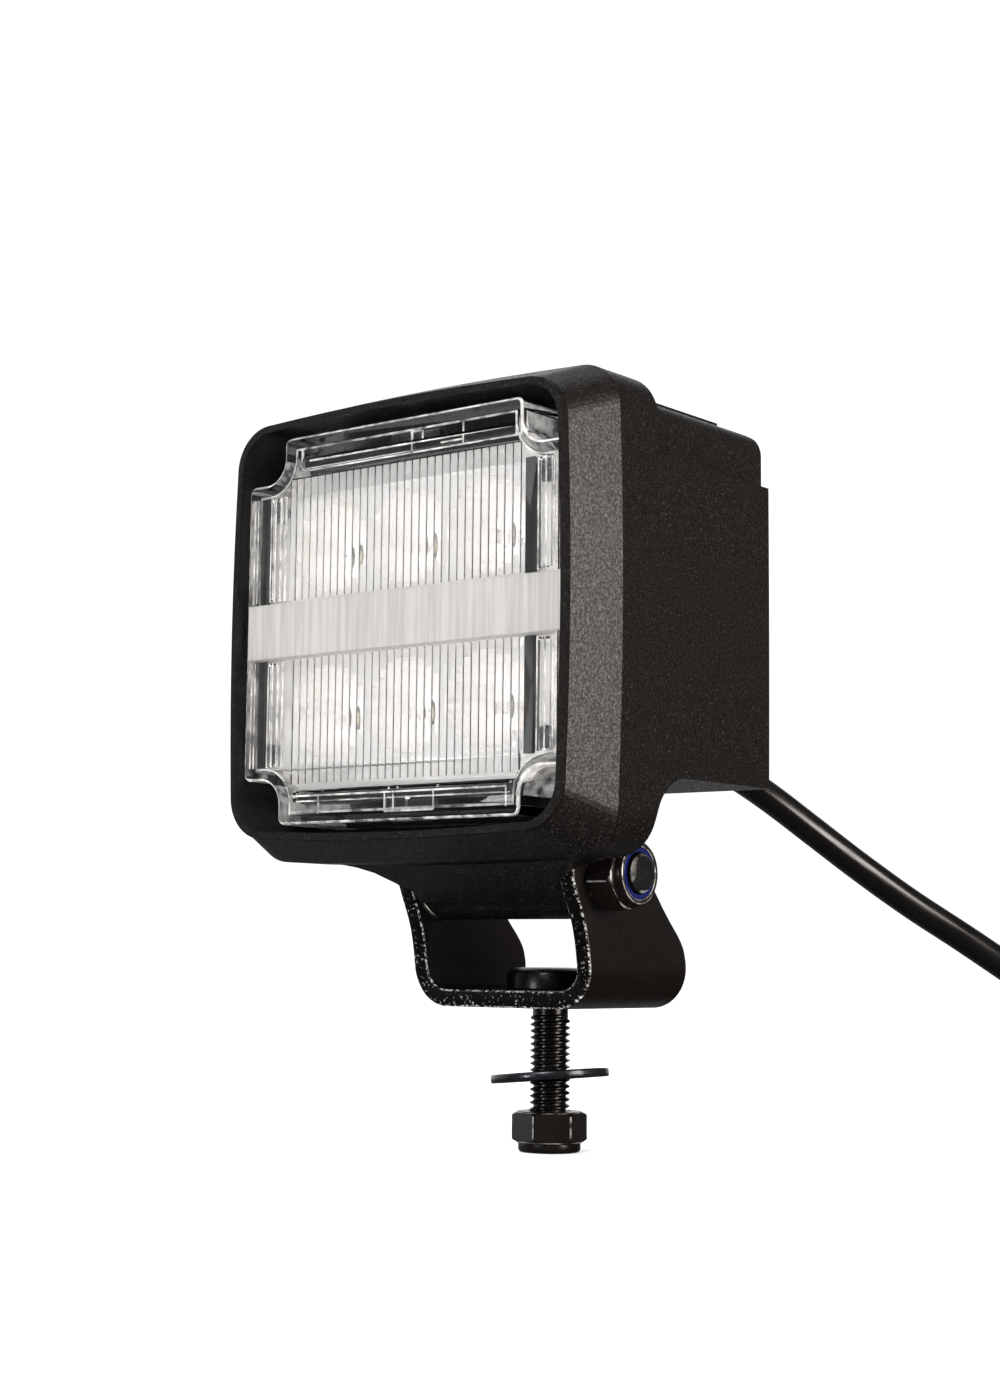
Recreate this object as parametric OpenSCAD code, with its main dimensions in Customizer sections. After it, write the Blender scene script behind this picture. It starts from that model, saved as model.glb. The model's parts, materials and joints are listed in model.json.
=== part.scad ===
// Square LED fog and work light on a U bracket, with its sheathed cable.
// Millimetres, +Z up, lens facing -Y.
// Origin: axis of the mounting stud where it leaves the bracket's underside.

/* [Lamp head] */
// half of the bezel's widest side, before the crown
face_half = 44.2; // [40:0.1:48]
// half of the thin front lip's side
lip_half = 40.2; // [37:0.1:44]
// how far each side bows out at its middle
crown = 1.2; // [0.4:0.1:2]
// radius of the bezel's corners
corner_r = 9; // [6:0.5:12]
// height of the lamp's centre above the bracket's underside
lamp_z = 72.6; // [68:0.1:78]
// front plane of the lip
front_y = -50.3; // [-55:0.1:-46]
// plane of the bezel's widest edge
wide_y = -38.8; // [-42:0.1:-36]
// rear plane of the bezel's straight band
band_y = -27; // [-30:0.1:-24]
// rear plane of the box behind the bezel
rear_y = 11.2; // [8:0.1:16]
// wall of the die-cast housing
wall = 3.4; // [2.6:0.1:4.5]

/* [Lens and optics] */
// half width of the lens across its side tabs
lens_tab_x = 39.2; // [37:0.1:40]
// half height of the lens across its top and bottom tabs
lens_tab_z = 38; // [36:0.1:38.4]
// half height of the side tabs
side_tab_z = 29.3; // [26:0.1:31]
// half width of the top and bottom tabs
top_tab_x = 29.8; // [27:0.1:31]
// radius of the hollow corner notches
notch_r = 4.8; // [3:0.1:5]
// wall of the clear lens
lens_wall = 2; // [1.5:0.1:3]
// pitch of the vertical ribs inside the lens
rib_pitch = 1.86; // [1.4:0.02:2.6]
// number of vertical ribs
rib_count = 31; // [21:2:37]
// sideways spacing of the six reflector cups
cup_dx = 19.3; // [17:0.1:21]
// height spacing of the two rows of cups
cup_dz = 32; // [28:0.5:36]
// mouth radius of a cup
cup_r = 9.2; // [7:0.1:9.5]
// height of the light band across the middle
band_h = 10.4; // [6:0.1:13]

/* [Bracket] */
// half of the bracket's outer width
bracket_half = 22; // [20:0.1:26]
// thickness of the steel
steel = 3.4; // [2.5:0.1:4]
// outer radius of the two bends
bend_r = 8; // [5:0.5:10]
// half of the bracket's depth at its foot
foot_half = 16; // [13:0.5:20]
// radius of the rounded ends round the pivot
ear_r = 10.5; // [9:0.1:12]
// distance of the pivot axis from the stud axis, along Y
pivot_y = -11.5; // [-14:0.1:-8]
// height of the pivot axis
pivot_z = 25.8; // [23:0.1:29]
// radius of the lug that turns between the arms
lug_r = 8.6; // [7.5:0.1:9.5]

/* [Fasteners] */
// nominal radius of the M8 bolts
bolt_r = 4; // [4:0.1:4]
// across flats of the M8 nuts
nut_af = 13; // [13:0.1:13]
// height of the M8 lock nuts
nut_h = 8; // [7:0.1:9]
// top of the stud's nut
stud_nut_z = -20.4; // [-24:0.1:-18]
// middle of the loose washer
washer_z = -13.5; // [-16:0.1:-12]
// outer radius of the washer
washer_r = 11.8; // [10:0.1:12.5]
// thickness of the washer
washer_t = 1.7; // [1.2:0.1:2.4]
// lean of the loose washer in degrees
washer_lean = 5.5; // [0:0.5:6]

/* [Cable] */
// outer diameter of the sheathed cable
cord_d = 6.5; // [6:0.1:7.5]
// mean radius of the coil
coil_r = 33; // [32.5:0.5:34]
// turns in the coil
coil_turns = 3.25; // [3.25:1:5.25]

/* [Hidden] */
fa = 64;
eps = 0.01;
inner_half = bracket_half - steel;
barrel_half = inner_half - 1;
floor_y = -30;
lens_y = front_y + 1.9;
box_low = lamp_z - 30;
box_top = lamp_z + 40.6;
ledge_z = lamp_z + 28.9;
top_half = 42.6;
board_y = -29.4;
pocket_y = -27.5;
chamber_y = -24.5;
seat_y = 7.4;
cover_y = 10.8;
gland_x = 7;
gland_z = 55.5;
split_x = 10;
surface_z = stud_nut_z - nut_h;
cord_z = surface_z + cord_d / 2;
boot_r = 5.4;
plug_z = surface_z + boot_r;
coil_x = 104;
coil_y = 82;
coil_rise = 6.7;

// ---------- shared shapes ----------
function arc_pts(cx, cy, r, a0, a1, n) =
    [for (i = [0:n]) [cx + r * cos(a0 + (a1 - a0) * i / n), cy + r * sin(a0 + (a1 - a0) * i / n)]];

function bow(t, h, c) = h + c * (1 - pow(t / h, 2));

// square with bowed sides and round corners, as one list of points
function pillow(h, c, r) =
    let (k = h - r, g = bow(k, h, c) - r)
    concat(
        [for (i = [-3:3]) [bow(k * i / 4, h, c), k * i / 4]],
        arc_pts(g, g, r, 4, 86, 14),
        [for (i = [-3:3]) [-k * i / 4, bow(k * i / 4, h, c)]],
        arc_pts(-g, g, r, 94, 176, 14),
        [for (i = [-3:3]) [-bow(k * i / 4, h, c), -k * i / 4]],
        arc_pts(-g, -g, r, 184, 266, 14),
        [for (i = [-3:3]) [k * i / 4, -bow(k * i / 4, h, c)]],
        arc_pts(g, -g, r, 274, 356, 14));

// extrudes an X-Z drawing from y0 to y1, centred on the lamp
module face(y0, y1) {
    translate([0, y1, lamp_z])
        rotate([90, 0, 0])
            linear_extrude(height = y1 - y0)
                children();
}

module bar(x0, x1, y0, y1, z0, z1) {
    translate([x0, y0, z0])
        cube([x1 - x0, y1 - y0, z1 - z0]);
}

module rod_x(r, x0, x1) {
    translate([x0, 0, 0])
        rotate([0, 90, 0])
            cylinder(h = x1 - x0, r = r, $fn = fa);
}

module rod_y(x, z, r, y0, y1, r2 = -1) {
    translate([x, y0, z])
        rotate([-90, 0, 0])
            cylinder(h = y1 - y0, r1 = r, r2 = r2 < 0 ? r : r2, $fn = fa);
}

module hex(af, h) {
    intersection() {
        translate([-af / 2, -af, 0])
            cube([af, 2 * af, h]);
        rotate([0, 0, 60])
            translate([-af / 2, -af, 0])
                cube([af, 2 * af, h]);
        rotate([0, 0, 120])
            translate([-af / 2, -af, 0])
                cube([af, 2 * af, h]);
        translate([0, 0, -1])
            cylinder(h = h + 2, r = af * 0.565, $fn = fa);
    }
}

// box behind the bezel: full width up to the ledge, narrower above it; g shrinks it all round
module box_2d(g) {
    intersection() {
        polygon(pillow(face_half - g, crown, corner_r));
        union() {
            translate([-50, box_low - lamp_z + g])
                square([100, ledge_z - box_low - 2 * g]);
            translate([-(top_half - g), box_low - lamp_z + g])
                square([2 * (top_half - g), box_top - box_low - 2 * g - 5]);
            translate([-(top_half - g - 5), box_low - lamp_z + g])
                square([2 * (top_half - g - 5), box_top - box_low - 2 * g]);
            for (s = [-1, 1]) {
                translate([s * (top_half - g - 5), box_top - lamp_z - g - 5])
                    circle(r = 5, $fn = fa);
            }
        }
    }
}

// lens outline: a square with four concave corner notches; g shrinks it all round
module cross_2d(g) {
    difference() {
        translate([-(lens_tab_x - g), -(lens_tab_z - g)])
            square([2 * (lens_tab_x - g), 2 * (lens_tab_z - g)]);
        for (sx = [-1, 1], sz = [-1, 1]) {
            difference() {
                translate([sx * 50, sz * 50])
                    square([2 * (50 - top_tab_x + g), 2 * (50 - side_tab_z + g)], center = true);
                translate([sx * (top_tab_x - g), sz * (side_tab_z - g)])
                    difference() {
                        square([2 * notch_r, 2 * notch_r], center = true);
                        translate([sx * notch_r, sz * notch_r])
                            circle(r = notch_r, $fn = fa);
                    }
            }
        }
    }
}

// ---------- lamp head ----------
module neck_side() {
    translate([-32, 0, 0])
        rotate([90, 0, 90])
            linear_extrude(height = 64)
                polygon([[-17.6, 19.7], [-22.4, 22.5], [-27, 25.4], [-31, 28.2], [-34, 31], [-34, 34],
                    [-26, 44], [-2.9, 44], [-2.9, 25.8], [-11.5, 25.8]]);
}

module neck() {
    intersection() {
        neck_side();
        union() {
            bar(-barrel_half, barrel_half, -40, 0, 17, 44);
            translate([0, -23.4, 0])
                rotate([90, 0, 0])
                    linear_extrude(height = 12)
                        polygon([[-barrel_half, 21], [barrel_half, 21], [19.6, 24], [22.6, 26], [26, 27.1],
                            [30, 27.8], [30, 34], [-30, 34], [-30, 27.8], [-26, 27.1], [-22.6, 26],
                            [-19.6, 24]]);
        }
    }
    translate([0, pivot_y, pivot_z])
        rod_x(lug_r, -barrel_half, barrel_half);
    bar(-barrel_half, barrel_half, pivot_y - lug_r, pivot_y + lug_r, pivot_z, 44);
}

module housing_outer() {
    face(front_y, front_y + 1.3)
        polygon(pillow(lip_half, crown, corner_r - 0.5));
    hull() {
        face(front_y + 1.1, front_y + 1.2)
            polygon(pillow(lip_half + 0.1, crown, corner_r - 0.4));
        face(wide_y - 0.1, wide_y)
            polygon(pillow(face_half, crown, corner_r));
    }
    face(wide_y - 0.05, band_y)
        polygon(pillow(face_half, crown, corner_r));
    // box with its rear rim chamfered
    intersection() {
        face(band_y - 1, rear_y)
            box_2d(0);
        hull() {
            bar(-46, 46, band_y - 1, rear_y - 2.4, box_low - 1, box_top);
            bar(-face_half, face_half, band_y - 1, rear_y, box_low - 1, box_top - 1.3);
        }
    }
    // cove between the band and the underside of the box
    intersection() {
        face(band_y - 1, band_y + 9)
            polygon(pillow(face_half, crown, corner_r));
        difference() {
            bar(-50, 50, band_y - 1, band_y + 9, box_low - 9, box_low + 1);
            translate([0, band_y + 9, box_low - 9])
                rod_x(9, -51, 51);
        }
    }
    // low ribs along the top
    for (i = [-3:3]) {
        bar(i * 11 - 1.4, i * 11 + 1.4, band_y - 1, 8, box_top - 2, box_top + 2.3);
    }
    neck();
}

module housing() {
    color([0.08, 0.08, 0.08])
        difference() {
            union() {
                difference() {
                    housing_outer();
                    // deep front recess round the lens
                    face(front_y - 1, floor_y)
                        polygon(pillow(lip_half - 1.3, crown, corner_r - 1.5));
                    // pocket for the LED board
                    bar(-38, 38, floor_y - 1, pocket_y, lamp_z - 27.8, lamp_z + 27.8);
                    // rear chamber
                    face(chamber_y, rear_y + 1)
                        box_2d(wall);
                    face(seat_y, rear_y + 1)
                        box_2d(wall - 1.6);
                }
                // bosses for the cover's screws
                for (s = [-1, 1]) {
                    rod_y(s * 37, 50.2, 4.8, chamber_y - 0.5, seat_y);
                    rod_y(s * 32, 105.4, 4.8, chamber_y - 0.5, seat_y);
                }
                // stand-offs for the driver board
                for (sx = [-1, 1], sz = [-1, 1]) {
                    rod_y(sx * 27, 78 + sz * 20, 3, chamber_y - 0.5, -14);
                }
            }
            for (s = [-1, 1]) {
                rod_y(s * 37, 50.2, 1.65, -12, seat_y + 1);
                rod_y(s * 32, 105.4, 1.65, -12, seat_y + 1);
            }
            for (sx = [-1, 1], sz = [-1, 1]) {
                rod_y(sx * 27, 78 + sz * 20, 1.25, -23, -13);
                rod_y(sx * 34, lamp_z + sz * 24, 1.25, pocket_y - 1, pocket_y + 2.4);
                rod_y(sx * 33.4, lamp_z + sz * 33.4, 1.25, floor_y - 1, floor_y + 2.6);
            }
            // passage for the wires to the LED board
            rod_y(-30, 60, 2.6, pocket_y - 1, chamber_y + 1);
            translate([0, pivot_y, pivot_z])
                rod_x(5.5, -30, 30);
        }
}

module lens() {
    color([0.85, 0.88, 0.9, 0.35])
        difference() {
            union() {
                difference() {
                    union() {
                        face(lens_y, lens_y + 0.6)
                            cross_2d(0.7);
                        face(lens_y + 0.6, floor_y - 0.8)
                            cross_2d(0);
                    }
                    face(lens_y + lens_wall, floor_y)
                        cross_2d(lens_wall);
                }
                for (sx = [-1, 1], sz = [-1, 1]) {
                    rod_y(sx * 33.4, lamp_z + sz * 33.4, 3.2, -43, floor_y - 0.8);
                    translate([sx * 31.2, -36, lamp_z + sz * 33.4])
                        cube([4.4, 8, 2], center = true);
                }
            }
            for (sx = [-1, 1], sz = [-1, 1]) {
                rod_y(sx * 33.4, lamp_z + sz * 33.4, 1.7, -44, floor_y);
                rod_y(sx * 33.4, lamp_z + sz * 33.4, 2.7, -44, -36);
            }
        }
}

module rib_block(h) {
    linear_extrude(height = h)
        union() {
            translate([-rib_pitch * rib_count / 2, lens_y + lens_wall])
                square([rib_pitch * rib_count, 0.6]);
            for (i = [0:rib_count - 1]) {
                translate([(i - (rib_count - 1) / 2) * rib_pitch, lens_y + lens_wall + 0.85])
                    circle(r = 0.8, $fn = 24);
            }
        }
}

module lens_ribs() {
    low = band_h / 2 + 0.5;
    color([0.88, 0.9, 0.92, 0.4])
        intersection() {
            for (z = [-30, low]) {
                translate([0, 0, lamp_z + z])
                    rib_block(30 - low);
            }
            face(lens_y + lens_wall, floor_y)
                cross_2d(lens_wall + 0.1);
        }
}

module lens_gasket() {
    color([0.05, 0.05, 0.05])
        difference() {
            face(floor_y - 0.8, floor_y)
                cross_2d(0);
            face(floor_y - 1.8, floor_y + 1)
                cross_2d(lens_wall);
        }
}

module lens_screws() {
    color([0.1, 0.1, 0.1])
        for (sx = [-1, 1], sz = [-1, 1]) {
            difference() {
                rod_y(sx * 33.4, lamp_z + sz * 33.4, 2.4, -38, -36);
                translate([sx * 33.4, -38, lamp_z + sz * 33.4]) {
                    cube([3.2, 1.6, 0.7], center = true);
                    cube([0.7, 1.6, 3.2], center = true);
                }
            }
            rod_y(sx * 33.4, lamp_z + sz * 33.4, 1.25, -36.2, floor_y + 2.4);
        }
}

module divider_bars() {
    color([0.03, 0.03, 0.03])
        for (s = [-1, 1]) {
            // upright strips: the left one stands further out than the right one
            translate([0, 0, lamp_z + s * (26.8 + band_h / 2 + 0.4) / 2]) {
                bar(-37, -34.8, lens_y + lens_wall, -45.4, -10.6, 10.6);
                bar(29.5, 31.6, lens_y + lens_wall, -45.4, -10.6, 10.6);
            }
            // black strips above and below the ribbed window, with a tongue that carries the clip
            translate([0, 0, lamp_z + s * 32.4])
                bar(-27.2, 27.2, -43.8, -42.4, -1.4, 1.4);
            translate([0, 0, lamp_z + s * 34.3])
                bar(-3.2, 8.4, -43.8, -42.4, -1.3, 1.3);
        }
}

module cup_shell(r_add) {
    // open cup, mouth at -Y
    rotate([90, 0, 0])
        rotate_extrude($fn = fa)
            polygon([[0, 0], [2.6 + r_add, 0], [5 + r_add, 2.2], [6.8 + r_add, 5], [8.1 + r_add, 8.4],
                [cup_r + r_add, 12.8], [0, 12.8]]);
}

module reflector() {
    color([0.9, 0.9, 0.9])
        difference() {
            union() {
                face(-43.8, -42.4)
                    intersection() {
                        cross_2d(lens_wall + 0.4);
                        square([80, 61.8], center = true);
                    }
                for (ix = [-1:1], iz = [-1, 1]) {
                    translate([ix * cup_dx, -31, lamp_z + iz * cup_dz / 2])
                        cup_shell(0.35);
                }
                for (sx = [-1, 1], sz = [-1, 1]) {
                    rod_y(sx * 34, lamp_z + sz * 24, 2.4, -42.5, board_y);
                }
            }
            for (ix = [-1:1], iz = [-1, 1]) {
                translate([ix * cup_dx, -31.2, lamp_z + iz * cup_dz / 2])
                    cup_shell(-0.35);
                rod_y(ix * cup_dx, lamp_z + iz * cup_dz / 2, 2.3, -33, -30);
            }
            for (sx = [-1, 1], sz = [-1, 1]) {
                rod_y(sx * 34, lamp_z + sz * 24, 1.3, -44, -29);
            }
        }
}

module reflector_clips() {
    color([0.82, 0.82, 0.83])
        for (s = [-1, 1]) {
            translate([0, 0, lamp_z + s * 34.6])
                union() {
                    translate([-0.6, -44.95, 0])
                        cube([4.8, 2.2, 2.4], center = true);
                    translate([4.8, -44.55, 0])
                        cube([7, 1.4, 1.6], center = true);
                }
        }
}

module light_band() {
    color([0.93, 0.92, 0.86])
        difference() {
            bar(-36.9, 36.9, lens_y + lens_wall, -43.9, lamp_z - band_h / 2, lamp_z + band_h / 2);
            bar(-35.8, 35.8, -45, -43, lamp_z - band_h / 2 + 1.2, lamp_z + band_h / 2 - 1.2);
        }
}

module band_board() {
    color([0.85, 0.87, 0.85])
        bar(-35.4, 35.4, -44.5, -43.8, lamp_z - 3.6, lamp_z + 3.6);
}

module band_leds() {
    color([0.95, 0.9, 0.5])
        for (i = [-5:5]) {
            bar(i * 6.2 - 1, i * 6.2 + 1, -44.9, -44.5, lamp_z - 0.6, lamp_z + 0.6);
        }
}

module led_board() {
    color([0.93, 0.94, 0.93])
        difference() {
            bar(-37.6, 37.6, board_y, board_y + 1.4, lamp_z - 27.4, lamp_z + 27.4);
            for (sx = [-1, 1], sz = [-1, 1]) {
                rod_y(sx * 34, lamp_z + sz * 24, 1.3, board_y - 1, board_y + 2);
            }
            rod_y(-30, 60, 2.2, board_y - 1, board_y + 2);
        }
}

module led_bodies() {
    color([0.95, 0.95, 0.92])
        for (ix = [-1:1], iz = [-1, 1]) {
            translate([ix * cup_dx, board_y - 0.35, lamp_z + iz * cup_dz / 2])
                cube([3.1, 0.7, 3.1], center = true);
        }
}

module led_domes() {
    color([0.95, 0.8, 0.25])
        for (ix = [-1:1], iz = [-1, 1]) {
            translate([ix * cup_dx, board_y - 0.7, lamp_z + iz * cup_dz / 2])
                intersection() {
                    sphere(r = 1.4, $fn = 48);
                    translate([-2, -3, -2])
                        cube([4, 3, 4]);
                }
        }
}

module thermal_pad() {
    color([0.55, 0.6, 0.68])
        difference() {
            bar(-37.2, 37.2, board_y + 1.4, pocket_y, lamp_z - 27, lamp_z + 27);
            for (sx = [-1, 1], sz = [-1, 1]) {
                rod_y(sx * 34, lamp_z + sz * 24, 1.6, board_y, pocket_y + 1);
            }
            rod_y(-30, 60, 2.8, board_y, pocket_y + 1);
        }
}

module board_screws() {
    color([0.7, 0.7, 0.72])
        for (sx = [-1, 1], sz = [-1, 1]) {
            rod_y(sx * 34, lamp_z + sz * 24, 1.25, -44.2, pocket_y + 2.2);
            difference() {
                rod_y(sx * 34, lamp_z + sz * 24, 2.2, -45.2, -43.8);
                translate([sx * 34, -45.2, lamp_z + sz * 24])
                    cube([3, 1, 0.6], center = true);
            }
        }
}

module driver_board() {
    color([0.1, 0.35, 0.2])
        difference() {
            bar(-31, 31, -14, -12.4, 55, 100);
            for (sx = [-1, 1], sz = [-1, 1]) {
                rod_y(sx * 27, 78 + sz * 20, 1.3, -15, -12);
            }
        }
}

module driver_coil() {
    color([0.35, 0.34, 0.33])
        union() {
            bar(-8, 8, -12.4, -11.2, 80, 96);
            translate([0, -11.2, 88])
                rotate([-90, 0, 0])
                    union() {
                        cylinder(h = 1.4, r = 7.4, $fn = fa);
                        cylinder(h = 7, r = 5.2, $fn = fa);
                        translate([0, 0, 5.6])
                            cylinder(h = 1.6, r = 7.4, $fn = fa);
                    }
        }
}

module driver_capacitors() {
    color([0.15, 0.17, 0.3])
        for (x = [-20, 18]) {
            rod_y(x, 72, 5, -12.4, -2.4);
            rod_y(x, 72, 4.2, -2.4, -2);
        }
}

module driver_chips() {
    color([0.06, 0.06, 0.06])
        union() {
            bar(-4, 4, -12.4, -10.6, 66, 72);
            bar(-24, -14, -12.4, -10.1, 86, 93);
            bar(14, 24, -12.4, -10.1, 86, 93);
            bar(-6, -1, -12.4, -11, 58, 61);
            bar(22, 27, -12.4, -11.2, 64, 67);
        }
}

module driver_screws() {
    color([0.75, 0.75, 0.75])
        for (sx = [-1, 1], sz = [-1, 1]) {
            rod_y(sx * 27, 78 + sz * 20, 1.25, -22, -12.3);
            rod_y(sx * 27, 78 + sz * 20, 2.4, -12.4, -10.6);
        }
}

module wire_clamp() {
    color([0.12, 0.3, 0.16])
        difference() {
            bar(2, 12, -12.4, -4.4, 56, 64);
            rod_y(4.6, 60, 1.15, -9, -3);
            rod_y(9.4, 60, 1.15, -9, -3);
        }
}

module inner_wires() {
    color([0.6, 0.08, 0.06])
        for (s = [-1, 1]) {
            tube([[7 + 2.4 * s, -9, 60], [7 + 2.4 * s, -5, 60], [7 + 2.2 * s, -1, 59], [7 + 1.6 * s, 3, 56.6],
                [7 + 1.5 * s, 6, 55.5], [7 + 1.5 * s, 8, 55.5]], 1.1, 10, 2);
        }
}

module rear_cover() {
    color([0.08, 0.08, 0.08])
        difference() {
            union() {
                face(seat_y + 0.6, cover_y)
                    box_2d(wall - 1.4);
                for (i = [-5:5]) {
                    bar(i * 6 - 0.9, i * 6 + 0.9, cover_y - 0.5, 17.4, 68, abs(i) == 5 ? 99 : 107);
                }
                rod_y(gland_x, gland_z, 9, cover_y - 0.5, 12.2);
                rod_y(-22, 57, 6.4, cover_y - 0.5, 11.8);
            }
            for (s = [-1, 1]) {
                rod_y(s * 37, 50.2, 2.1, 0, 20);
                rod_y(s * 32, 105.4, 2.1, 0, 20);
            }
            rod_y(gland_x, gland_z, 6, 0, 20);
            rod_y(-22, 57, 3, 0, 20);
        }
}

module cover_gasket() {
    color([0.04, 0.04, 0.04])
        difference() {
            face(seat_y, seat_y + 0.6)
                box_2d(wall - 1.4);
            face(seat_y - 1, seat_y + 1)
                difference() {
                    box_2d(wall);
                    for (s = [-1, 1]) {
                        translate([s * 37, 50.2 - lamp_z])
                            circle(r = 4.8, $fn = fa);
                        translate([s * 32, 105.4 - lamp_z])
                            circle(r = 4.8, $fn = fa);
                    }
                }
            for (s = [-1, 1]) {
                rod_y(s * 37, 50.2, 2.1, 0, 20);
                rod_y(s * 32, 105.4, 2.1, 0, 20);
            }
        }
}

module cover_screw() {
    rod_y(0, 0, 1.65, -5, cover_y + 0.1);
    difference() {
        rod_y(0, 0, 3.6, cover_y, cover_y + 2.4);
        translate([0, cover_y + 2.6, 0])
            rotate([90, 0, 0])
                hex(3, 1.8);
    }
}

module cover_screws() {
    color([0.2, 0.2, 0.2])
        for (s = [-1, 1]) {
            translate([s * 37, 0, 50.2])
                cover_screw();
            translate([s * 32, 0, 105.4])
                cover_screw();
        }
}

module vent_plug() {
    color([0.15, 0.15, 0.15])
        difference() {
            union() {
                rod_y(-22, 57, 3, 8, 12);
                rod_y(-22, 57, 5, 11.8, 14.2);
            }
            rod_y(-22, 57, 1.2, 5, 13.2);
            for (a = [0:60:300]) {
                translate([-22, 14.2, 57])
                    rotate([0, a, 0])
                        translate([3.2, 0, 0])
                            cube([1.6, 1.2, 0.8], center = true);
            }
        }
}

module gland_body() {
    color([0.07, 0.07, 0.07])
        difference() {
            union() {
                rod_y(gland_x, gland_z, 6, 6.4, 14);
                translate([gland_x, 15, gland_z])
                    rotate([90, 0, 0])
                        hex(13, 2.8);
                rod_y(gland_x, gland_z, 5.4, 14.9, 19);
            }
            rod_y(gland_x, gland_z, cord_d / 2, 5, 22);
        }
}

module gland_cap() {
    color([0.07, 0.07, 0.07])
        difference() {
            union() {
                rod_y(gland_x, gland_z, 7, 15, 20.4);
                rod_y(gland_x, gland_z, 7, 20.4, 22, 5.6);
            }
            rod_y(gland_x, gland_z, 5.4, 14, 19);
            rod_y(gland_x, gland_z, cord_d / 2 + 1.1, 18, 23);
        }
}

module strain_relief() {
    color([0.05, 0.05, 0.05])
        difference() {
            union() {
                rod_y(gland_x, gland_z, 4.35, 19, 22);
                rod_y(gland_x, gland_z, 5.2, 22, 29.5, 4.1);
            }
            rod_y(gland_x, gland_z, cord_d / 2, 18, 31);
            for (i = [0:2]) {
                difference() {
                    rod_y(gland_x, gland_z, 7, 23.4 + i * 2, 24.2 + i * 2);
                    rod_y(gland_x, gland_z, 3.9, 23 + i * 2, 25 + i * 2);
                }
            }
        }
}

module pivot_bushes() {
    color([0.85, 0.85, 0.8])
        for (s = [0, 1]) {
            mirror([s, 0, 0])
                translate([0, pivot_y, pivot_z])
                    difference() {
                        union() {
                            rod_x(5.5, 8, barrel_half + 0.1);
                            rod_x(8.2, barrel_half, inner_half - 0.05);
                        }
                        rod_x(4.05, 0, 30);
                    }
        }
}

// ---------- bracket ----------
// side outline of the plate below the rounded ends
module bracket_side() {
    polygon([[-foot_half, -1], [-foot_half, 5], [-16.4, 8], [-16.9, 11.2], [-17.6, 14.3], [-18.7, 17.5],
        [-20.2, 20.7], [-21.5, 23.7], [pivot_y, pivot_z + 5], [pivot_y + 7.7, pivot_z + 7], [5.6, 22.4],
        [8.2, 19.4], [10.8, 16.7], [13.3, 14.2], [15, 11.9], [15.8, 9.4], [foot_half, 6.4], [foot_half, -1]]);
}

module bracket_front() {
    difference() {
        union() {
            translate([-bracket_half, bend_r])
                square([2 * bracket_half, 40]);
            translate([-(bracket_half - 0.4), bend_r - 2])
                square([2 * (bracket_half - 0.4), 4]);
            translate([-(bracket_half - bend_r), 0])
                square([2 * (bracket_half - bend_r), bend_r + 1]);
            for (s = [-1, 1]) {
                translate([s * (bracket_half - bend_r), bend_r])
                    circle(r = bend_r, $fn = fa);
            }
        }
        translate([-inner_half, bend_r])
            square([2 * inner_half, 60]);
        translate([-(bracket_half - bend_r), steel])
            square([2 * (bracket_half - bend_r), bend_r + 1]);
        for (s = [-1, 1]) {
            translate([s * (bracket_half - bend_r), bend_r])
                circle(r = bend_r - steel, $fn = fa);
        }
    }
}

module bracket() {
    color([0.05, 0.05, 0.05])
        difference() {
            union() {
                intersection() {
                    translate([0, 30, 0])
                        rotate([90, 0, 0])
                            linear_extrude(height = 60)
                                bracket_front();
                    translate([-30, 0, 0])
                        rotate([90, 0, 90])
                            linear_extrude(height = 60)
                                bracket_side();
                }
                for (x = [-bracket_half, inner_half]) {
                    translate([0, pivot_y, pivot_z])
                        rod_x(ear_r, x, x + steel);
                }
            }
            translate([0, pivot_y, pivot_z])
                rod_x(bolt_r + 0.05, -30, 30);
            translate([-4.1, -4.1, -1])
                cube([8.2, 8.2, steel + 2]);
        }
}

module pivot_bolt() {
    color([0.06, 0.06, 0.06])
        translate([0, pivot_y, pivot_z])
            difference() {
                union() {
                    rod_x(bolt_r, -bracket_half - 0.1, 30.4);
                    translate([30.4, 0, 0])
                        rotate([0, 90, 0])
                            cylinder(h = 0.7, r1 = bolt_r, r2 = 3.3, $fn = fa);
                    // low button head with a hexagon socket
                    rod_x(6.3, -bracket_half - 1, -bracket_half);
                    translate([-bracket_half - 1, 0, 0])
                        rotate([0, -90, 0])
                            cylinder(h = 1.6, r1 = 6.3, r2 = 4.4, $fn = fa);
                }
                translate([-bracket_half - 2.7, 0, 0])
                    rotate([0, 90, 0])
                        hex(5, 2.1);
            }
}

// lock nut along +Z: hexagon below, round collar on top
module lock_nut() {
    difference() {
        union() {
            hex(nut_af, nut_h - 1.8);
            cylinder(h = nut_h - 0.5, r = 6.2, $fn = fa);
            translate([0, 0, nut_h - 0.5])
                cylinder(h = 0.5, r1 = 6.2, r2 = 5.8, $fn = fa);
        }
        translate([0, 0, -1])
            cylinder(h = nut_h + 2, r = bolt_r + 0.05, $fn = fa);
        translate([0, 0, nut_h - 2])
            cylinder(h = 3, r = 5.4, $fn = fa);
    }
}

module nut_ring() {
    difference() {
        translate([0, 0, nut_h - 1.95])
            cylinder(h = 1.65, r = 5.35, $fn = fa);
        translate([0, 0, nut_h - 3])
            cylinder(h = 4, r = bolt_r + 0.04, $fn = fa);
    }
}

module pivot_nut() {
    color([0.06, 0.06, 0.06])
        translate([bracket_half, pivot_y, pivot_z])
            rotate([0, 90, 0])
                rotate([0, 0, 12])
                    lock_nut();
}

module pivot_nut_ring() {
    color([0.1, 0.2, 0.75])
        translate([bracket_half, pivot_y, pivot_z])
            rotate([0, 90, 0])
                nut_ring();
}

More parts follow.
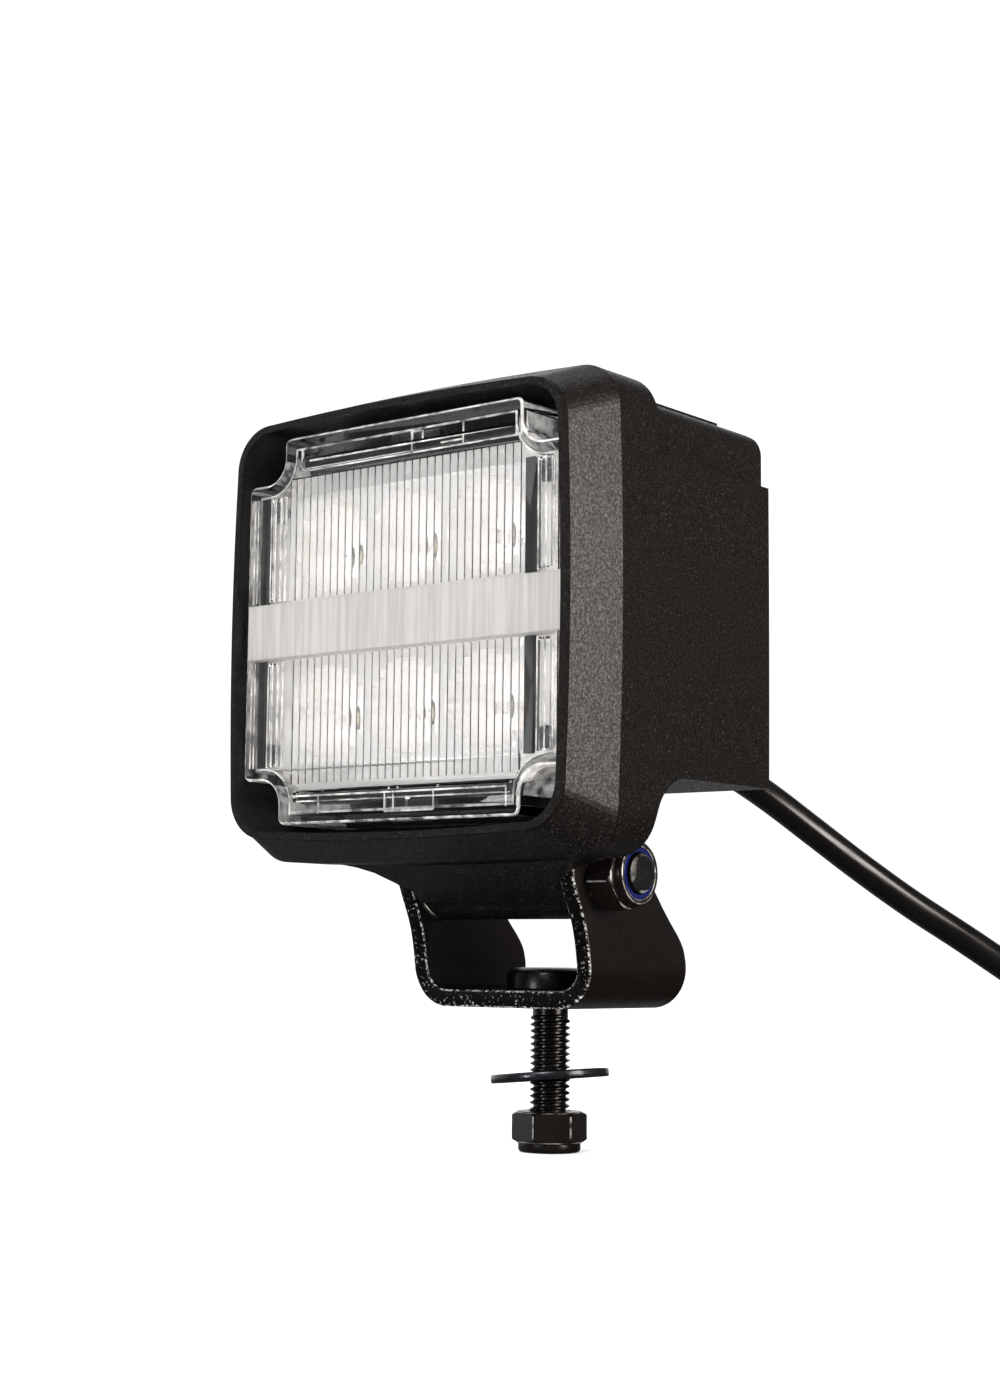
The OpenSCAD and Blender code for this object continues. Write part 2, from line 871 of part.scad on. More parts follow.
module mount_bolt() {
    color([0.06, 0.06, 0.06])
        union() {
            translate([0, 0, surface_z + 1.2])
                cylinder(h = -surface_z - 1.2 + 1, r = bolt_r, $fn = fa);
            translate([0, 0, surface_z + 0.5])
                cylinder(h = 0.7, r1 = 3.3, r2 = bolt_r, $fn = fa);
            translate([-4, -4, 0])
                cube([8, 8, steel + 0.1]);
            translate([0, 0, steel])
                cylinder(h = 3.6, r = 8.8, $fn = fa);
            translate([0, 0, steel + 3.6])
                cylinder(h = 0.9, r1 = 8.8, r2 = 8, $fn = fa);
        }
}

module stud_washer() {
    color([0.08, 0.08, 0.09])
        translate([0, 0, washer_z])
            rotate([0, -washer_lean, 0])
                difference() {
                    translate([0, 0, -washer_t / 2])
                        cylinder(h = washer_t, r = washer_r, $fn = 96);
                    translate([0, 0, -washer_t])
                        cylinder(h = 2 * washer_t, r = bolt_r + 0.45, $fn = fa);
                }
}

module stud_nut() {
    color([0.06, 0.06, 0.06])
        translate([0, 0, stud_nut_z])
            mirror([0, 0, 1])
                rotate([0, 0, 13])
                    lock_nut();
}

module stud_nut_ring() {
    color([0.1, 0.2, 0.75])
        translate([0, 0, stud_nut_z])
            mirror([0, 0, 1])
                nut_ring();
}

// ---------- cable ----------
// hand-chosen centreline from the gland to the coil
cord_pts = [[7, 8, 55.5], [7, 22, 55.5], [7.1, 35.9, 54.4], [8.8, 49.4, 51.1], [12.3, 61.7, 45.4],
    [17.2, 72.6, 38.2], [23.3, 82.5, 30.5], [30.8, 91.5, 22.7], [39.2, 99.8, 15.3], [48.3, 106.7, 7.6],
    [58.2, 111.5, -0.3], [68.6, 114.2, -8.6], [79.6, 115.2, -16.2], [91.4, 115.2, -22.4], [98, 115, -24.4], [104, 115, cord_z]];

// the free end, from the coil to the plug
tail_pts = [[137, 82, -5], [137, 71, -6], [136.4, 60, -9.6], [135.2, 49, -14.6], [133.6, 38, -19.2],
    [132.2, 27, -22.1], [131.4, 18, plug_z], [131, 10, plug_z]];

function cr(p0, p1, p2, p3, t) =
    0.5 * (2 * p1 + (p2 - p0) * t + (2 * p0 - 5 * p1 + 4 * p2 - p3) * t * t
        + (3 * p1 - p0 - 3 * p2 + p3) * t * t * t);

// smooth line through the points, k steps to each span
function smooth(p, k) =
    let (n = len(p))
    concat(
        [for (i = [0:n - 2], j = [0:k - 1])
            cr(i > 0 ? p[i - 1] : 2 * p[0] - p[1], p[i], p[i + 1],
                i < n - 2 ? p[i + 2] : 2 * p[n - 1] - p[n - 2], j / k)],
        [p[n - 1]]);

function unit(v) = v / norm(v);

// part of a line on one side of the plane x = split, ending exactly on it
function cut_low(p, x) =
    let (m = [for (i = [0:len(p) - 1]) if (p[i][0] < x - 1) i], last = m[len(m) - 1])
    concat([for (i = [0:last]) p[i]], [at_x(p, x)]);

function cut_high(p, x) =
    let (m = [for (i = [0:len(p) - 1]) if (p[i][0] > x + 1) i], first = m[0])
    concat([at_x(p, x)], [for (i = [first:len(p) - 1]) p[i]]);

function at_x(p, x) =
    let (m = [for (i = [0:len(p) - 2]) if (p[i][0] <= x && p[i + 1][0] > x) i], i = m[0],
        t = (x - p[i][0]) / (p[i + 1][0] - p[i][0]))
    p[i] + (p[i + 1] - p[i]) * t;

function side_of(t) = unit(cross(t, abs(t[2]) < 0.9 ? [0, 0, 1] : [1, 0, 0]));

// one ring of the tube; a ring on the split plane is slid along the line into that plane
function ring(c, t, r, n, flat) =
    let (u = side_of(t), v = cross(t, u))
    [for (j = [0:n - 1])
        let (q = u * r * cos(360 * (j + 0.5) / n) + v * r * sin(360 * (j + 0.5) / n))
        flat ? c + q - t * (q[0] / t[0]) : c + q];

// closed tube along a line of points; flat0 and flat1 cut its ends on a plane of constant x
module tube_along(p, r, n, flat0, flat1) {
    m = len(p);
    rings = [for (i = [0:m - 1])
        ring(p[i], unit(p[min(i + 1, m - 1)] - p[max(i - 1, 0)]), r, n,
            (i == 0 && flat0) || (i == m - 1 && flat1))];
    pts = [for (k = rings, q = k) q];
    sides = [for (i = [0:m - 2], j = [0:n - 1])
        [i * n + j, i * n + (j + 1) % n, (i + 1) * n + (j + 1) % n, (i + 1) * n + j]];
    cap0 = [[for (j = [0:n - 1]) n - 1 - j]];
    cap1 = [[for (j = [0:n - 1]) (m - 1) * n + j]];
    polyhedron(points = pts, faces = concat(sides, cap0, cap1), convexity = 8);
}

module tube(p, r, n, k) {
    tube_along(smooth(p, k), r, n, false, false);
}

module cord_lead() {
    color([0.05, 0.05, 0.05])
        tube_along(cut_low(smooth(cord_pts, 2), split_x), cord_d / 2, 12, false, true);
}

module cord_run() {
    color([0.05, 0.05, 0.05])
        tube_along(cut_high(smooth(cord_pts, 2), split_x), cord_d / 2, 12, true, false);
}

module cord_coil() {
    color([0.05, 0.05, 0.05])
        translate([coil_x, coil_y, 0])
            rotate_extrude($fn = 96)
                union() {
                    translate([coil_r - cord_d / 2, cord_z])
                        square([cord_d, coil_rise * (coil_turns - 0.25)]);
                    translate([coil_r, cord_z])
                        circle(r = cord_d / 2, $fn = fa);
                    translate([coil_r, cord_z + coil_rise * (coil_turns - 0.25)])
                        circle(r = cord_d / 2, $fn = fa);
                }
}

module coil_tie() {
    color([0.1, 0.1, 0.1])
        translate([coil_x, coil_y, 0])
            rotate([0, 0, 45])
                difference() {
                    union() {
                        translate([coil_r - cord_d / 2 - 1.2, -1.8, surface_z])
                            cube([cord_d + 2.4, 3.6, coil_rise * (coil_turns - 0.25) + cord_d + 1.2]);
                        translate([coil_r + cord_d / 2 + 1, -2.8, surface_z + 9])
                            cube([3.4, 5.6, 5]);
                    }
                    translate([-60, -60, surface_z - 1])
                        difference() {
                            translate([60, 60, 0])
                                cylinder(h = coil_rise * (coil_turns - 0.25) + cord_d + 1,
                                    r = coil_r + cord_d / 2, $fn = 96);
                            translate([60, 60, -1])
                                cylinder(h = 60, r = coil_r - cord_d / 2, $fn = 96);
                        }
                }
}

module cord_tail() {
    color([0.05, 0.05, 0.05])
        tube_along(smooth(tail_pts, 2), cord_d / 2, 12, false, false);
}

// the plug lies on the surface at the tail's end, facing -Y
module plug_at() {
    translate([131, 10, plug_z])
        children();
}

module plug_boot() {
    color([0.06, 0.06, 0.06])
        plug_at()
            difference() {
                union() {
                    rod_y(0, 0, boot_r, -10, -1);
                    rod_y(0, 0, boot_r, -1, 7, 4.1);
                }
                rod_y(0, 0, cord_d / 2, -0.2, 8);
                for (i = [0:2]) {
                    difference() {
                        rod_y(0, 0, 7, i * 2, i * 2 + 0.8);
                        rod_y(0, 0, 3.9, i * 2 - 1, i * 2 + 2);
                    }
                }
            }
}

module plug_body() {
    low = -boot_r;
    color([0.08, 0.08, 0.08])
        plug_at()
            difference() {
                union() {
                    translate([-7.5, -34, low + 1.5])
                        cube([15, 13, 12]);
                    translate([-9, -22, low])
                        cube([18, 13, 15]);
                    translate([-10.2, -13, low])
                        cube([20.4, 3, 16]);
                }
                for (x = [-3.6, 3.6]) {
                    rod_y(x, low + 7.5, 1.7, -35, -22);
                }
                rod_y(0, 0, boot_r, -12, -8);
            }
}

module plug_lock() {
    low = -boot_r;
    color([0.75, 0.3, 0.08])
        plug_at()
            union() {
                translate([-3.5, -30, low + 15])
                    cube([7, 17, 1.4]);
                translate([-3.5, -22, low + 15])
                    cube([7, 4, 1.4]);
                translate([-3.5, -30, low + 16.4])
                    cube([7, 2.4, 1.2]);
            }
}

module plug_pins() {
    low = -boot_r;
    color([0.8, 0.78, 0.7])
        plug_at()
            for (x = [-3.6, 3.6]) {
                difference() {
                    rod_y(x, low + 7.5, 1.7, -33, -22);
                    rod_y(x, low + 7.5, 0.9, -34, -24);
                }
            }
}

module plug_seal() {
    low = -boot_r;
    color([0.55, 0.12, 0.1])
        plug_at()
            difference() {
                translate([-8.2, -24, low + 0.8])
                    cube([16.4, 2, 13.4]);
                translate([-7.5, -25, low + 1.5])
                    cube([15, 4, 12]);
            }
}

housing();
lens();
lens_ribs();
lens_gasket();
lens_screws();
divider_bars();
reflector();
reflector_clips();
light_band();
band_board();
band_leds();
led_board();
led_bodies();
led_domes();
thermal_pad();
board_screws();
driver_board();
driver_coil();
driver_capacitors();
driver_chips();
driver_screws();
wire_clamp();
inner_wires();
rear_cover();
cover_gasket();
cover_screws();
vent_plug();
gland_body();
gland_cap();
strain_relief();
pivot_bushes();
bracket();
pivot_bolt();
pivot_nut();
pivot_nut_ring();
mount_bolt();
stud_washer();
stud_nut();
stud_nut_ring();
cord_lead();
cord_run();
cord_coil();
coil_tie();
cord_tail();
plug_boot();
plug_body();
plug_lock();
plug_pins();
plug_seal();
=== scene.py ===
import json
import math

import bmesh
import bpy
from mathutils import Matrix, Vector
from mathutils.geometry import tessellate_polygon


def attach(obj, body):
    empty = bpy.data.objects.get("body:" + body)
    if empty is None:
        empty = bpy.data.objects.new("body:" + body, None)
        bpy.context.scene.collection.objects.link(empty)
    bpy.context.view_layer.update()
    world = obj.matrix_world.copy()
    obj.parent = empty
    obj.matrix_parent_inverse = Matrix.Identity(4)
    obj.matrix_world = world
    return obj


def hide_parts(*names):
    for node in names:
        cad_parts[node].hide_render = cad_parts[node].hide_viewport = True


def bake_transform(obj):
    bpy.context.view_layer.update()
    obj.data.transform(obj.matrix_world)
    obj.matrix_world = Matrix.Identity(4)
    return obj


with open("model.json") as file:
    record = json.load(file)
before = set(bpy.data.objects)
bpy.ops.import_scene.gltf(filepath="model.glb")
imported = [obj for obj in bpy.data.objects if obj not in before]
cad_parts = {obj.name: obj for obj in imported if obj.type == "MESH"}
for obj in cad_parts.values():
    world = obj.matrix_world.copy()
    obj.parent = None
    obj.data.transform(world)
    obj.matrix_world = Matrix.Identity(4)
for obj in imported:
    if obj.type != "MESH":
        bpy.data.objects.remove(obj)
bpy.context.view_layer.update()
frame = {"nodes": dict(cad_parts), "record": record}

MM = 0.001


def link_new(name, data):
    """A new object in the scene."""
    thing = bpy.data.objects.new(name, data)
    bpy.context.scene.collection.objects.link(thing)
    return thing


# ---------- camera ----------
CAM_POS = Vector((280.9, -365.2, 9.4)) * MM
CAM_AZIMUTH = math.radians(38.9)
CAM_PITCH = math.radians(6.46)
CAM_ROLL = math.radians(0.62)
CAM_LENS = 58.85


def make_camera():
    """A camera low in front of the lamp's right corner, looking up a little."""
    data = bpy.data.cameras.new("camera")
    data.lens = CAM_LENS
    data.sensor_width = 36
    data.clip_start = 0.01
    cam = link_new("camera", data)
    right = Vector((math.cos(CAM_AZIMUTH), math.sin(CAM_AZIMUTH), 0))
    level = Vector((-math.sin(CAM_AZIMUTH), math.cos(CAM_AZIMUTH), 0))
    ahead = level * math.cos(CAM_PITCH) + Vector((0, 0, math.sin(CAM_PITCH)))
    up = right.cross(ahead)
    x_axis = right * math.cos(CAM_ROLL) + up * math.sin(CAM_ROLL)
    y_axis = up * math.cos(CAM_ROLL) - right * math.sin(CAM_ROLL)
    cam.matrix_world = Matrix((x_axis, y_axis, -ahead)).transposed().to_4x4()
    cam.location = CAM_POS
    bpy.context.scene.camera = cam


# ---------- materials ----------
SOCKETS = {
    "base": "Base Color",
    "rough": "Roughness",
    "metal": "Metallic",
    "coat": "Coat Weight",
    "ior": "IOR",
    "clear": "Transmission Weight",
    "specular": "Specular IOR Level",
    "glow": "Emission Strength",
    "glow_colour": "Emission Color",
}


class Nodes:
    """A material's node tree, with short ways to add nodes. Sizes and depths are in millimetres."""

    def __init__(self, name):
        self.mat = bpy.data.materials.new(name)
        self.mat.use_nodes = True
        self.tree = self.mat.node_tree
        self.shader = self.tree.nodes["Principled BSDF"]
        self.coords = self.add("ShaderNodeTexCoord").outputs["Object"]

    def add(self, kind):
        return self.tree.nodes.new(kind)

    def link(self, a, b):
        self.tree.links.new(a, b)

    def scaled(self, size, stretch=(1, 1, 1)):
        """Object coordinates in which one unit is as long as size."""
        place = self.add("ShaderNodeMapping")
        place.inputs["Scale"].default_value = [s / (size * MM) for s in stretch]
        self.link(self.coords, place.inputs["Vector"])
        return place.outputs["Vector"]

    def noise(self, size, detail, stretch=(1, 1, 1), rough=0.5):
        """Noise whose blobs are about size across, between 0 and 1."""
        noise = self.add("ShaderNodeTexNoise")
        noise.inputs["Scale"].default_value = 1.0
        noise.inputs["Detail"].default_value = detail
        noise.inputs["Roughness"].default_value = rough
        self.link(self.scaled(size, stretch), noise.inputs["Vector"])
        return noise.outputs["Fac"]

    def cells(self, size):
        """Distance to the middle of the nearest cell; cells are about size across."""
        cells = self.add("ShaderNodeTexVoronoi")
        cells.inputs["Scale"].default_value = 1.0
        self.link(self.scaled(size), cells.inputs["Vector"])
        return cells.outputs["Distance"]

    def vary(self, key, value, stops):
        """Lets a texture set one of the shader's inputs; stops are (level, grey or colour)."""
        ramp = self.add("ShaderNodeValToRGB")
        elements = ramp.color_ramp.elements
        for i, (at, colour) in enumerate(stops):
            element = elements[i] if i < 2 else elements.new(at)
            element.position = at
            rgb = (colour,) * 3 if isinstance(colour, (int, float)) else colour
            element.color = (*rgb, 1)
        self.link(value, ramp.inputs["Fac"])
        self.link(ramp.outputs["Color"], self.shader.inputs[SOCKETS[key]])

    def bump(self, value, depth, strength):
        """Adds a bump on top of any that the shader already has."""
        bump = self.add("ShaderNodeBump")
        bump.inputs["Distance"].default_value = depth * MM
        bump.inputs["Strength"].default_value = strength
        self.link(value, bump.inputs["Height"])
        normal = self.shader.inputs["Normal"]
        if normal.is_linked:
            self.link(normal.links[0].from_socket, bump.inputs["Normal"])
        self.link(bump.outputs["Normal"], normal)

    def set(self, **values):
        """Gives the shader's inputs fixed values; a colour is three numbers."""
        for key, value in values.items():
            socket = self.shader.inputs[SOCKETS[key]]
            socket.default_value = (*value, 1) if isinstance(value, tuple) else value


def powder_coat():
    """Black fine-textured powder coat on the die casting, with a few paler specks of painted sparkle."""
    n = Nodes("powder_coat")
    n.set(specular=0.22)
    # the ramp's palest stop paints rare sparkle specks into the colour
    n.vary("base", n.noise(0.42, 3), [(0.35, (0.0032, 0.0028, 0.0025)), (0.62, (0.008, 0.0068, 0.006)),
                                      (0.74, (0.045, 0.04, 0.036))])
    n.vary("rough", n.noise(0.5, 2), [(0.35, 0.28), (0.65, 0.5)])
    n.bump(n.cells(0.55), 0.03, 0.5)
    n.bump(n.noise(0.5, 2), 0.05, 0.8)
    return n.mat


def clear_plastic():
    """Polished clear polycarbonate of the lens."""
    n = Nodes("clear_plastic")
    n.set(base=(0.97, 0.98, 0.985), rough=0.02, ior=1.5, clear=1.0)
    n.bump(n.noise(9, 2), 0.02, 0.3)
    return n.mat


def rubber(name, base):
    """Dull rubber with a fine grain."""
    n = Nodes(name)
    n.set(base=base, specular=0.4)
    n.vary("rough", n.noise(2.5, 3), [(0.3, 0.5), (0.7, 0.7)])
    n.bump(n.noise(0.3, 2), 0.02, 0.5)
    return n.mat


def cable_sheath():
    """Satin black sheath, slightly uneven."""
    n = Nodes("cable_sheath")
    n.set(base=(0.004, 0.0036, 0.0034), specular=0.4)
    n.vary("rough", n.noise(5, 3), [(0.3, 0.2), (0.7, 0.3)])
    n.bump(n.noise(1.4, 2), 0.004, 0.3)
    return n.mat


def gloss_paint():
    """Black electro-coat paint with a soft orange peel."""
    n = Nodes("gloss_paint")
    n.set(base=(0.005, 0.0038, 0.0032), specular=0.34)
    n.vary("rough", n.noise(6, 3), [(0.3, 0.2), (0.7, 0.34)])
    n.bump(n.noise(1.4, 2), 0.02, 0.5)
    return n.mat


def cut_edge_glints(name, black, bright):
    """Thick lumpy paint on the sheared edge of the steel, with painted glints as bright flecks.

    The colour is black up to the noise level black, and a painted glint from the level bright on.
    """
    n = Nodes(name)
    n.set(rough=0.2, specular=0.3)
    n.vary("base", n.noise(0.6, 3, rough=0.65), [(black, (0.003, 0.0026, 0.0024)),
                                                 (bright, (0.55, 0.54, 0.52))])
    n.bump(n.noise(0.8, 3), 0.12, 0.6)
    return n.mat


def zinc(name, base, rough):
    """Black zinc plating over steel."""
    n = Nodes(name)
    n.set(metal=0.85)
    n.vary("base", n.noise(3, 4), [(0.3, base), (0.7, tuple(c * 1.7 for c in base))])
    n.vary("rough", n.noise(1.1, 3), [(0.3, rough), (0.7, rough + 0.14)])
    n.bump(n.noise(0.35, 2), 0.015, 0.5)
    return n.mat


def plastic(name, base, rough, coat=0.0):
    """Moulded plastic, a little mottled, with a fine grain."""
    n = Nodes(name)
    n.set(rough=rough, coat=coat)
    n.vary("base", n.noise(4, 3), [(0.3, tuple(c * 0.88 for c in base)), (0.7, base)])
    n.bump(n.noise(0.35, 2), 0.015, 0.4)
    return n.mat


def metal(name, base, rough):
    """Bare metal with uneven polish."""
    n = Nodes(name)
    n.set(metal=1.0)
    n.vary("base", n.noise(2.5, 3), [(0.3, tuple(c * 0.9 for c in base)), (0.7, base)])
    n.vary("rough", n.noise(0.5, 3), [(0.3, rough), (0.7, rough + 0.12)])
    return n.mat


def chrome_with_painted_glow(name, metal, facets):
    """Vacuum metallised reflector with a painted glow; facets is how deep its pebbled surface is."""
    n = Nodes(name)
    # the glow paints light on to the reflector, which is no lamp
    n.set(base=(0.98, 0.95, 0.93), metal=metal, glow=0.12, glow_colour=(1, 0.96, 0.93))
    n.vary("rough", n.noise(2.2, 3), [(0.3, 0.1), (0.7, 0.25)])
    n.bump(n.noise(1.3, 2), facets, 0.5)
    n.bump(n.cells(1.5), facets * 0.8, 0.5)
    return n.mat


def painted_edge_highlight():
    """Painted highlights, bright patches in the base colour, on the edges of the nuts and the tip of the
    pivot bolt.
    """
    n = Nodes("painted_edge_highlight")
    n.set(metal=0.5, rough=0.35)
    n.vary("base", n.noise(2.5, 3), [(0.4, (0.02, 0.019, 0.018)), (0.6, (0.4, 0.39, 0.37))])
    return n.mat


def painted_glint_edge():
    """Edges and thin ribs of the clear lens, painted bright with a patchy glow so that they show as bright
    broken lines.
    """
    n = Nodes("painted_glint_edge")
    n.set(base=(0.92, 0.9, 0.88), rough=0.15, glow_colour=(1, 0.97, 0.94))
    # the patchy glow paints in the glints that the edges catch
    n.vary("glow", n.noise(3.5, 3), [(0.38, 0.0), (0.64, 0.3)])
    n.vary("clear", n.noise(2.5, 2), [(0.35, 0.3), (0.6, 0.9)])
    return n.mat


def frosted():
    """Milky plastic of the light band, with faint upright streaks."""
    n = Nodes("frosted")
    n.set(rough=0.5)
    n.vary("base", n.noise(0.9, 3, (1, 1, 0.04)), [(0.36, (0.66, 0.627, 0.598)), (0.64, (0.8, 0.77, 0.74))])
    n.shader.inputs["Subsurface Weight"].default_value = 0.25
    n.shader.inputs["Subsurface Radius"].default_value = (0.003, 0.003, 0.003)
    return n.mat


# the record's material slots
MATERIALS = {
    "cast_black": powder_coat(),
    "lens_clear": clear_plastic(),
    "rubber_black": rubber("black_rubber", (0.014, 0.0135, 0.013)),
    "black_steel": gloss_paint(),
    "black_zinc": zinc("black_zinc", (0.028, 0.029, 0.034), 0.18),
    "screw_steel": metal("screw_steel", (0.32, 0.32, 0.33), 0.25),
    "trim_black": plastic("trim_black", (0.018, 0.018, 0.018), 0.4),
    "reflector_silver": chrome_with_painted_glow("chrome_with_painted_glow", 0.2, 0.1),
    "frosted_white": frosted(),
    "board_white": plastic("board_white", (0.8, 0.8, 0.78), 0.4),
    "phosphor": plastic("phosphor", (0.86, 0.82, 0.66), 0.3, coat=0.6),
    "thermal_grey": rubber("thermal_pad", (0.2, 0.22, 0.27)),
    "board_green": plastic("board_green", (0.02, 0.12, 0.05), 0.35),
    "ferrite": plastic("ferrite", (0.05, 0.05, 0.05), 0.6),
    "capacitor_blue": plastic("capacitor_sleeve", (0.02, 0.03, 0.1), 0.3),
    "wire_red": rubber("wire_red", (0.35, 0.02, 0.015)),
    "nylon_white": plastic("nylon_white", (0.6, 0.6, 0.55), 0.5),
    "nylon_blue": plastic("nylon_blue", (0.003, 0.008, 0.09), 0.3),
    "cable_sheath": cable_sheath(),
    "lock_orange": plastic("lock_orange", (0.6, 0.14, 0.02), 0.45),
    "contact_tin": metal("contact_tin", (0.72, 0.7, 0.66), 0.2),
    "seal_red": rubber("seal_red", (0.3, 0.03, 0.02)),
}

# finishes of single pieces or of some of a piece's faces
# the sheared edge and its rounded rim get painted glints, denser on the rim
CUT_EDGE_GLINTS = cut_edge_glints("cut_edge_glints", 0.62, 0.74)
CUT_RIM_GLINTS = cut_edge_glints("cut_rim_glints", 0.48, 0.64)
PAINTED_EDGE_LIGHT = painted_glint_edge()
EDGE_HIGHLIGHT_PAINT = painted_edge_highlight()
CUP_CHROME_PAINTED_GLOW = chrome_with_painted_glow("cup_chrome", 0.55, 0.5)
STUD_ZINC = zinc("stud_zinc", (0.016, 0.0155, 0.015), 0.2)
BOLT_ZINC = zinc("bolt_zinc", (0.03, 0.03, 0.031), 0.22)

for row in frame["record"]["subparts"]:
    mesh = frame["nodes"][row["node"]].data
    mesh.materials.clear()
    mesh.materials.append(MATERIALS[row["material_slot"]])


# ---------- mesh helpers, in millimetres ----------
def new_mesh_object(name, points, faces, materials, sharp=32, marks=None):
    """A new mesh; marks gives each face's place in the list of materials."""
    mesh = bpy.data.meshes.new(name)
    mesh.from_pydata([Vector(p) * MM for p in points], [], faces)
    for material in materials:
        mesh.materials.append(material)
    if marks:
        mesh.polygons.foreach_set("material_index", marks)
    tidy_mesh(mesh, sharp)
    return link_new(name, mesh)


def add_piece(name, points, faces, body, slot, materials=None, sharp=32, marks=None):
    """A piece of the lamp, with a slot's finish or its own materials; it rides on a body if one is given."""
    piece = new_mesh_object(name, points, faces, materials or [MATERIALS[slot]], sharp, marks)
    if body:
        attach(piece, body)
    return piece


def tidy_mesh(mesh, sharp):
    """Merges doubles, turns faces outwards and shades smooth except at edges sharper than the angle."""
    bm = bmesh.new()
    bm.from_mesh(mesh)
    bmesh.ops.remove_doubles(bm, verts=bm.verts, dist=0.2e-5)
    bmesh.ops.recalc_face_normals(bm, faces=bm.faces)
    bm.to_mesh(mesh)
    bm.free()
    mesh.shade_smooth()
    mesh.set_sharp_from_angle(angle=math.radians(sharp))


def place(points, matrix):
    return [matrix @ Vector(p) for p in points]


def join(*solids):
    """Several (points, faces) as one."""
    points, faces = [], []
    for p, f in solids:
        base = len(points)
        points += p
        faces += [tuple(i + base for i in face) for face in f]
    return points, faces


def close_rings(rings, steps, loop=False):
    """Points and faces of rings of equal count, joined in order; a loop joins the last to the first."""
    points = [p for ring in rings for p in ring]
    faces = []
    pairs = [(i, i + 1) for i in range(len(rings) - 1)] + ([(len(rings) - 1, 0)] if loop else [])
    for a, b in pairs:
        for j in range(steps):
            k = (j + 1) % steps
            faces.append((a * steps + j, a * steps + k, b * steps + k, b * steps + j))
    return points, faces


def round_ring(r, z, steps):
    """A level ring about the Z axis."""
    return [Vector((r * math.cos(2 * math.pi * j / steps), r * math.sin(2 * math.pi * j / steps), z))
            for j in range(steps)]


def circle_points(x, y, r, count):
    """A flat circle."""
    return [Vector((x + r * math.cos(2 * math.pi * i / count), y + r * math.sin(2 * math.pi * i / count)))
            for i in range(count)]


def arc(x, y, r, start, end, steps):
    """A flat arc from the angle start to the angle end, in degrees."""
    angles = [math.radians(start + (end - start) * i / steps) for i in range(steps + 1)]
    return [Vector((x + r * math.cos(a), y + r * math.sin(a))) for a in angles]


# ---------- cable ----------
CORD_D = 6.5
SURFACE_Z = -28.4
CORD_Z = SURFACE_Z + CORD_D / 2
PLUG_Z = SURFACE_Z + 5.4
# the cable's middle line from inside the gland to the coil, and from the coil to inside the connector
CORD_POINTS = [
    (7, 8, 55.5), (7, 22, 55.5), (7.1, 35.9, 54.4), (8.8, 49.4, 51.1), (12.3, 61.7, 45.4), (17.2, 72.6, 38.2),
    (23.3, 82.5, 30.5), (30.8, 91.5, 22.7), (39.2, 99.8, 15.3), (48.3, 106.7, 7.6), (58.2, 111.5, -0.3),
    (68.6, 114.2, -8.6), (79.6, 115.2, -16.2), (91.4, 115.2, -22.4), (98, 115, -24.4), (104, 115, CORD_Z),
]
TAIL_POINTS = [
    (137, 82, -5), (137, 71, -6), (136.4, 60, -9.6), (135.2, 49, -14.6), (133.6, 38, -19.2),
    (132.2, 27, -22.1), (131.4, 18, PLUG_Z), (131, 10, PLUG_Z),
]
COIL_CENTRE = (104, 82)
COIL_R = 33
COIL_TURNS = 3.25
COIL_RISE = 6.7
COIL_CLIMB = 0.45
CORD_STEPS = 6
COIL_STEPS = 60
CORD_SIDES = 24


def smooth_line(points, steps):
    """Catmull-Rom line through the points, with mirrored end points."""
    p = [Vector(q) for q in points]
    p = [2 * p[0] - p[1]] + p + [2 * p[-1] - p[-2]]
    line = []
    for a, b, c, d in zip(p, p[1:], p[2:], p[3:]):
        for j in range(steps):
            t = j / steps
            line.append(0.5 * (2 * b + (c - a) * t + (2 * a - 5 * b + 4 * c - d) * t * t
                               + (3 * b - a - 3 * c + d) * t * t * t))
    line.append(p[-2])
    return line


def coil_line():
    """The coil's turns, clockwise from where the run arrives.

    Each lies flat, then climbs on to the one below.
    """
    line = []
    for i in range(1, int(COIL_TURNS * COIL_STEPS)):
        turns = i / COIL_STEPS
        angle = math.pi / 2 - 2 * math.pi * turns
        part = max(0.0, (turns % 1 - 1 + COIL_CLIMB) / COIL_CLIMB)
        level = int(turns) + part * part * (3 - 2 * part)
        x = COIL_CENTRE[0] + COIL_R * math.cos(angle)
        y = COIL_CENTRE[1] + COIL_R * math.sin(angle)
        line.append(Vector((x, y, CORD_Z + COIL_RISE * level)))
    return line


def tube(line, radius, sides):
    """Rings carried along the line without twist, with closed ends."""
    points, faces = [], []
    side = Vector((1, 0, 0))
    for i, centre in enumerate(line):
        ahead = (line[min(i + 1, len(line) - 1)] - line[max(i - 1, 0)]).normalized()
        side = (side - ahead * side.dot(ahead)).normalized()
        other = ahead.cross(side)
        for j in range(sides):
            a = 2 * math.pi * j / sides
            points.append(centre + (side * math.cos(a) + other * math.sin(a)) * radius)
    for i in range(len(line) - 1):
        for j in range(sides):
            k = (j + 1) % sides
            faces.append((i * sides + j, i * sides + k, (i + 1) * sides + k, (i + 1) * sides + j))
    last = (len(line) - 1) * sides
    faces.append(tuple(range(sides - 1, -1, -1)))
    faces.append(tuple(range(last, last + sides)))
    return points, faces


def make_cable():
    """The whole cable in one piece: the run down from the lamp, the coil and the tail."""
    line = smooth_line(CORD_POINTS, CORD_STEPS) + coil_line() + smooth_line(TAIL_POINTS, CORD_STEPS)
    points, faces = tube(line, CORD_D / 2, CORD_SIDES)
    cable = add_piece("cable", points, faces, None, "cable_sheath", sharp=60)
    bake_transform(cable)
    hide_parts("cord_lead", "cord_run", "cord_coil", "cord_tail")


# ---------- fasteners ----------
AF = 13.0
NUT_H = 8.0
M8_R = 4.0
M8_PITCH = 1.25
M8_ROOT = 3.25
# where no thread is cut
M8_BLANK = M8_ROOT + 0.3
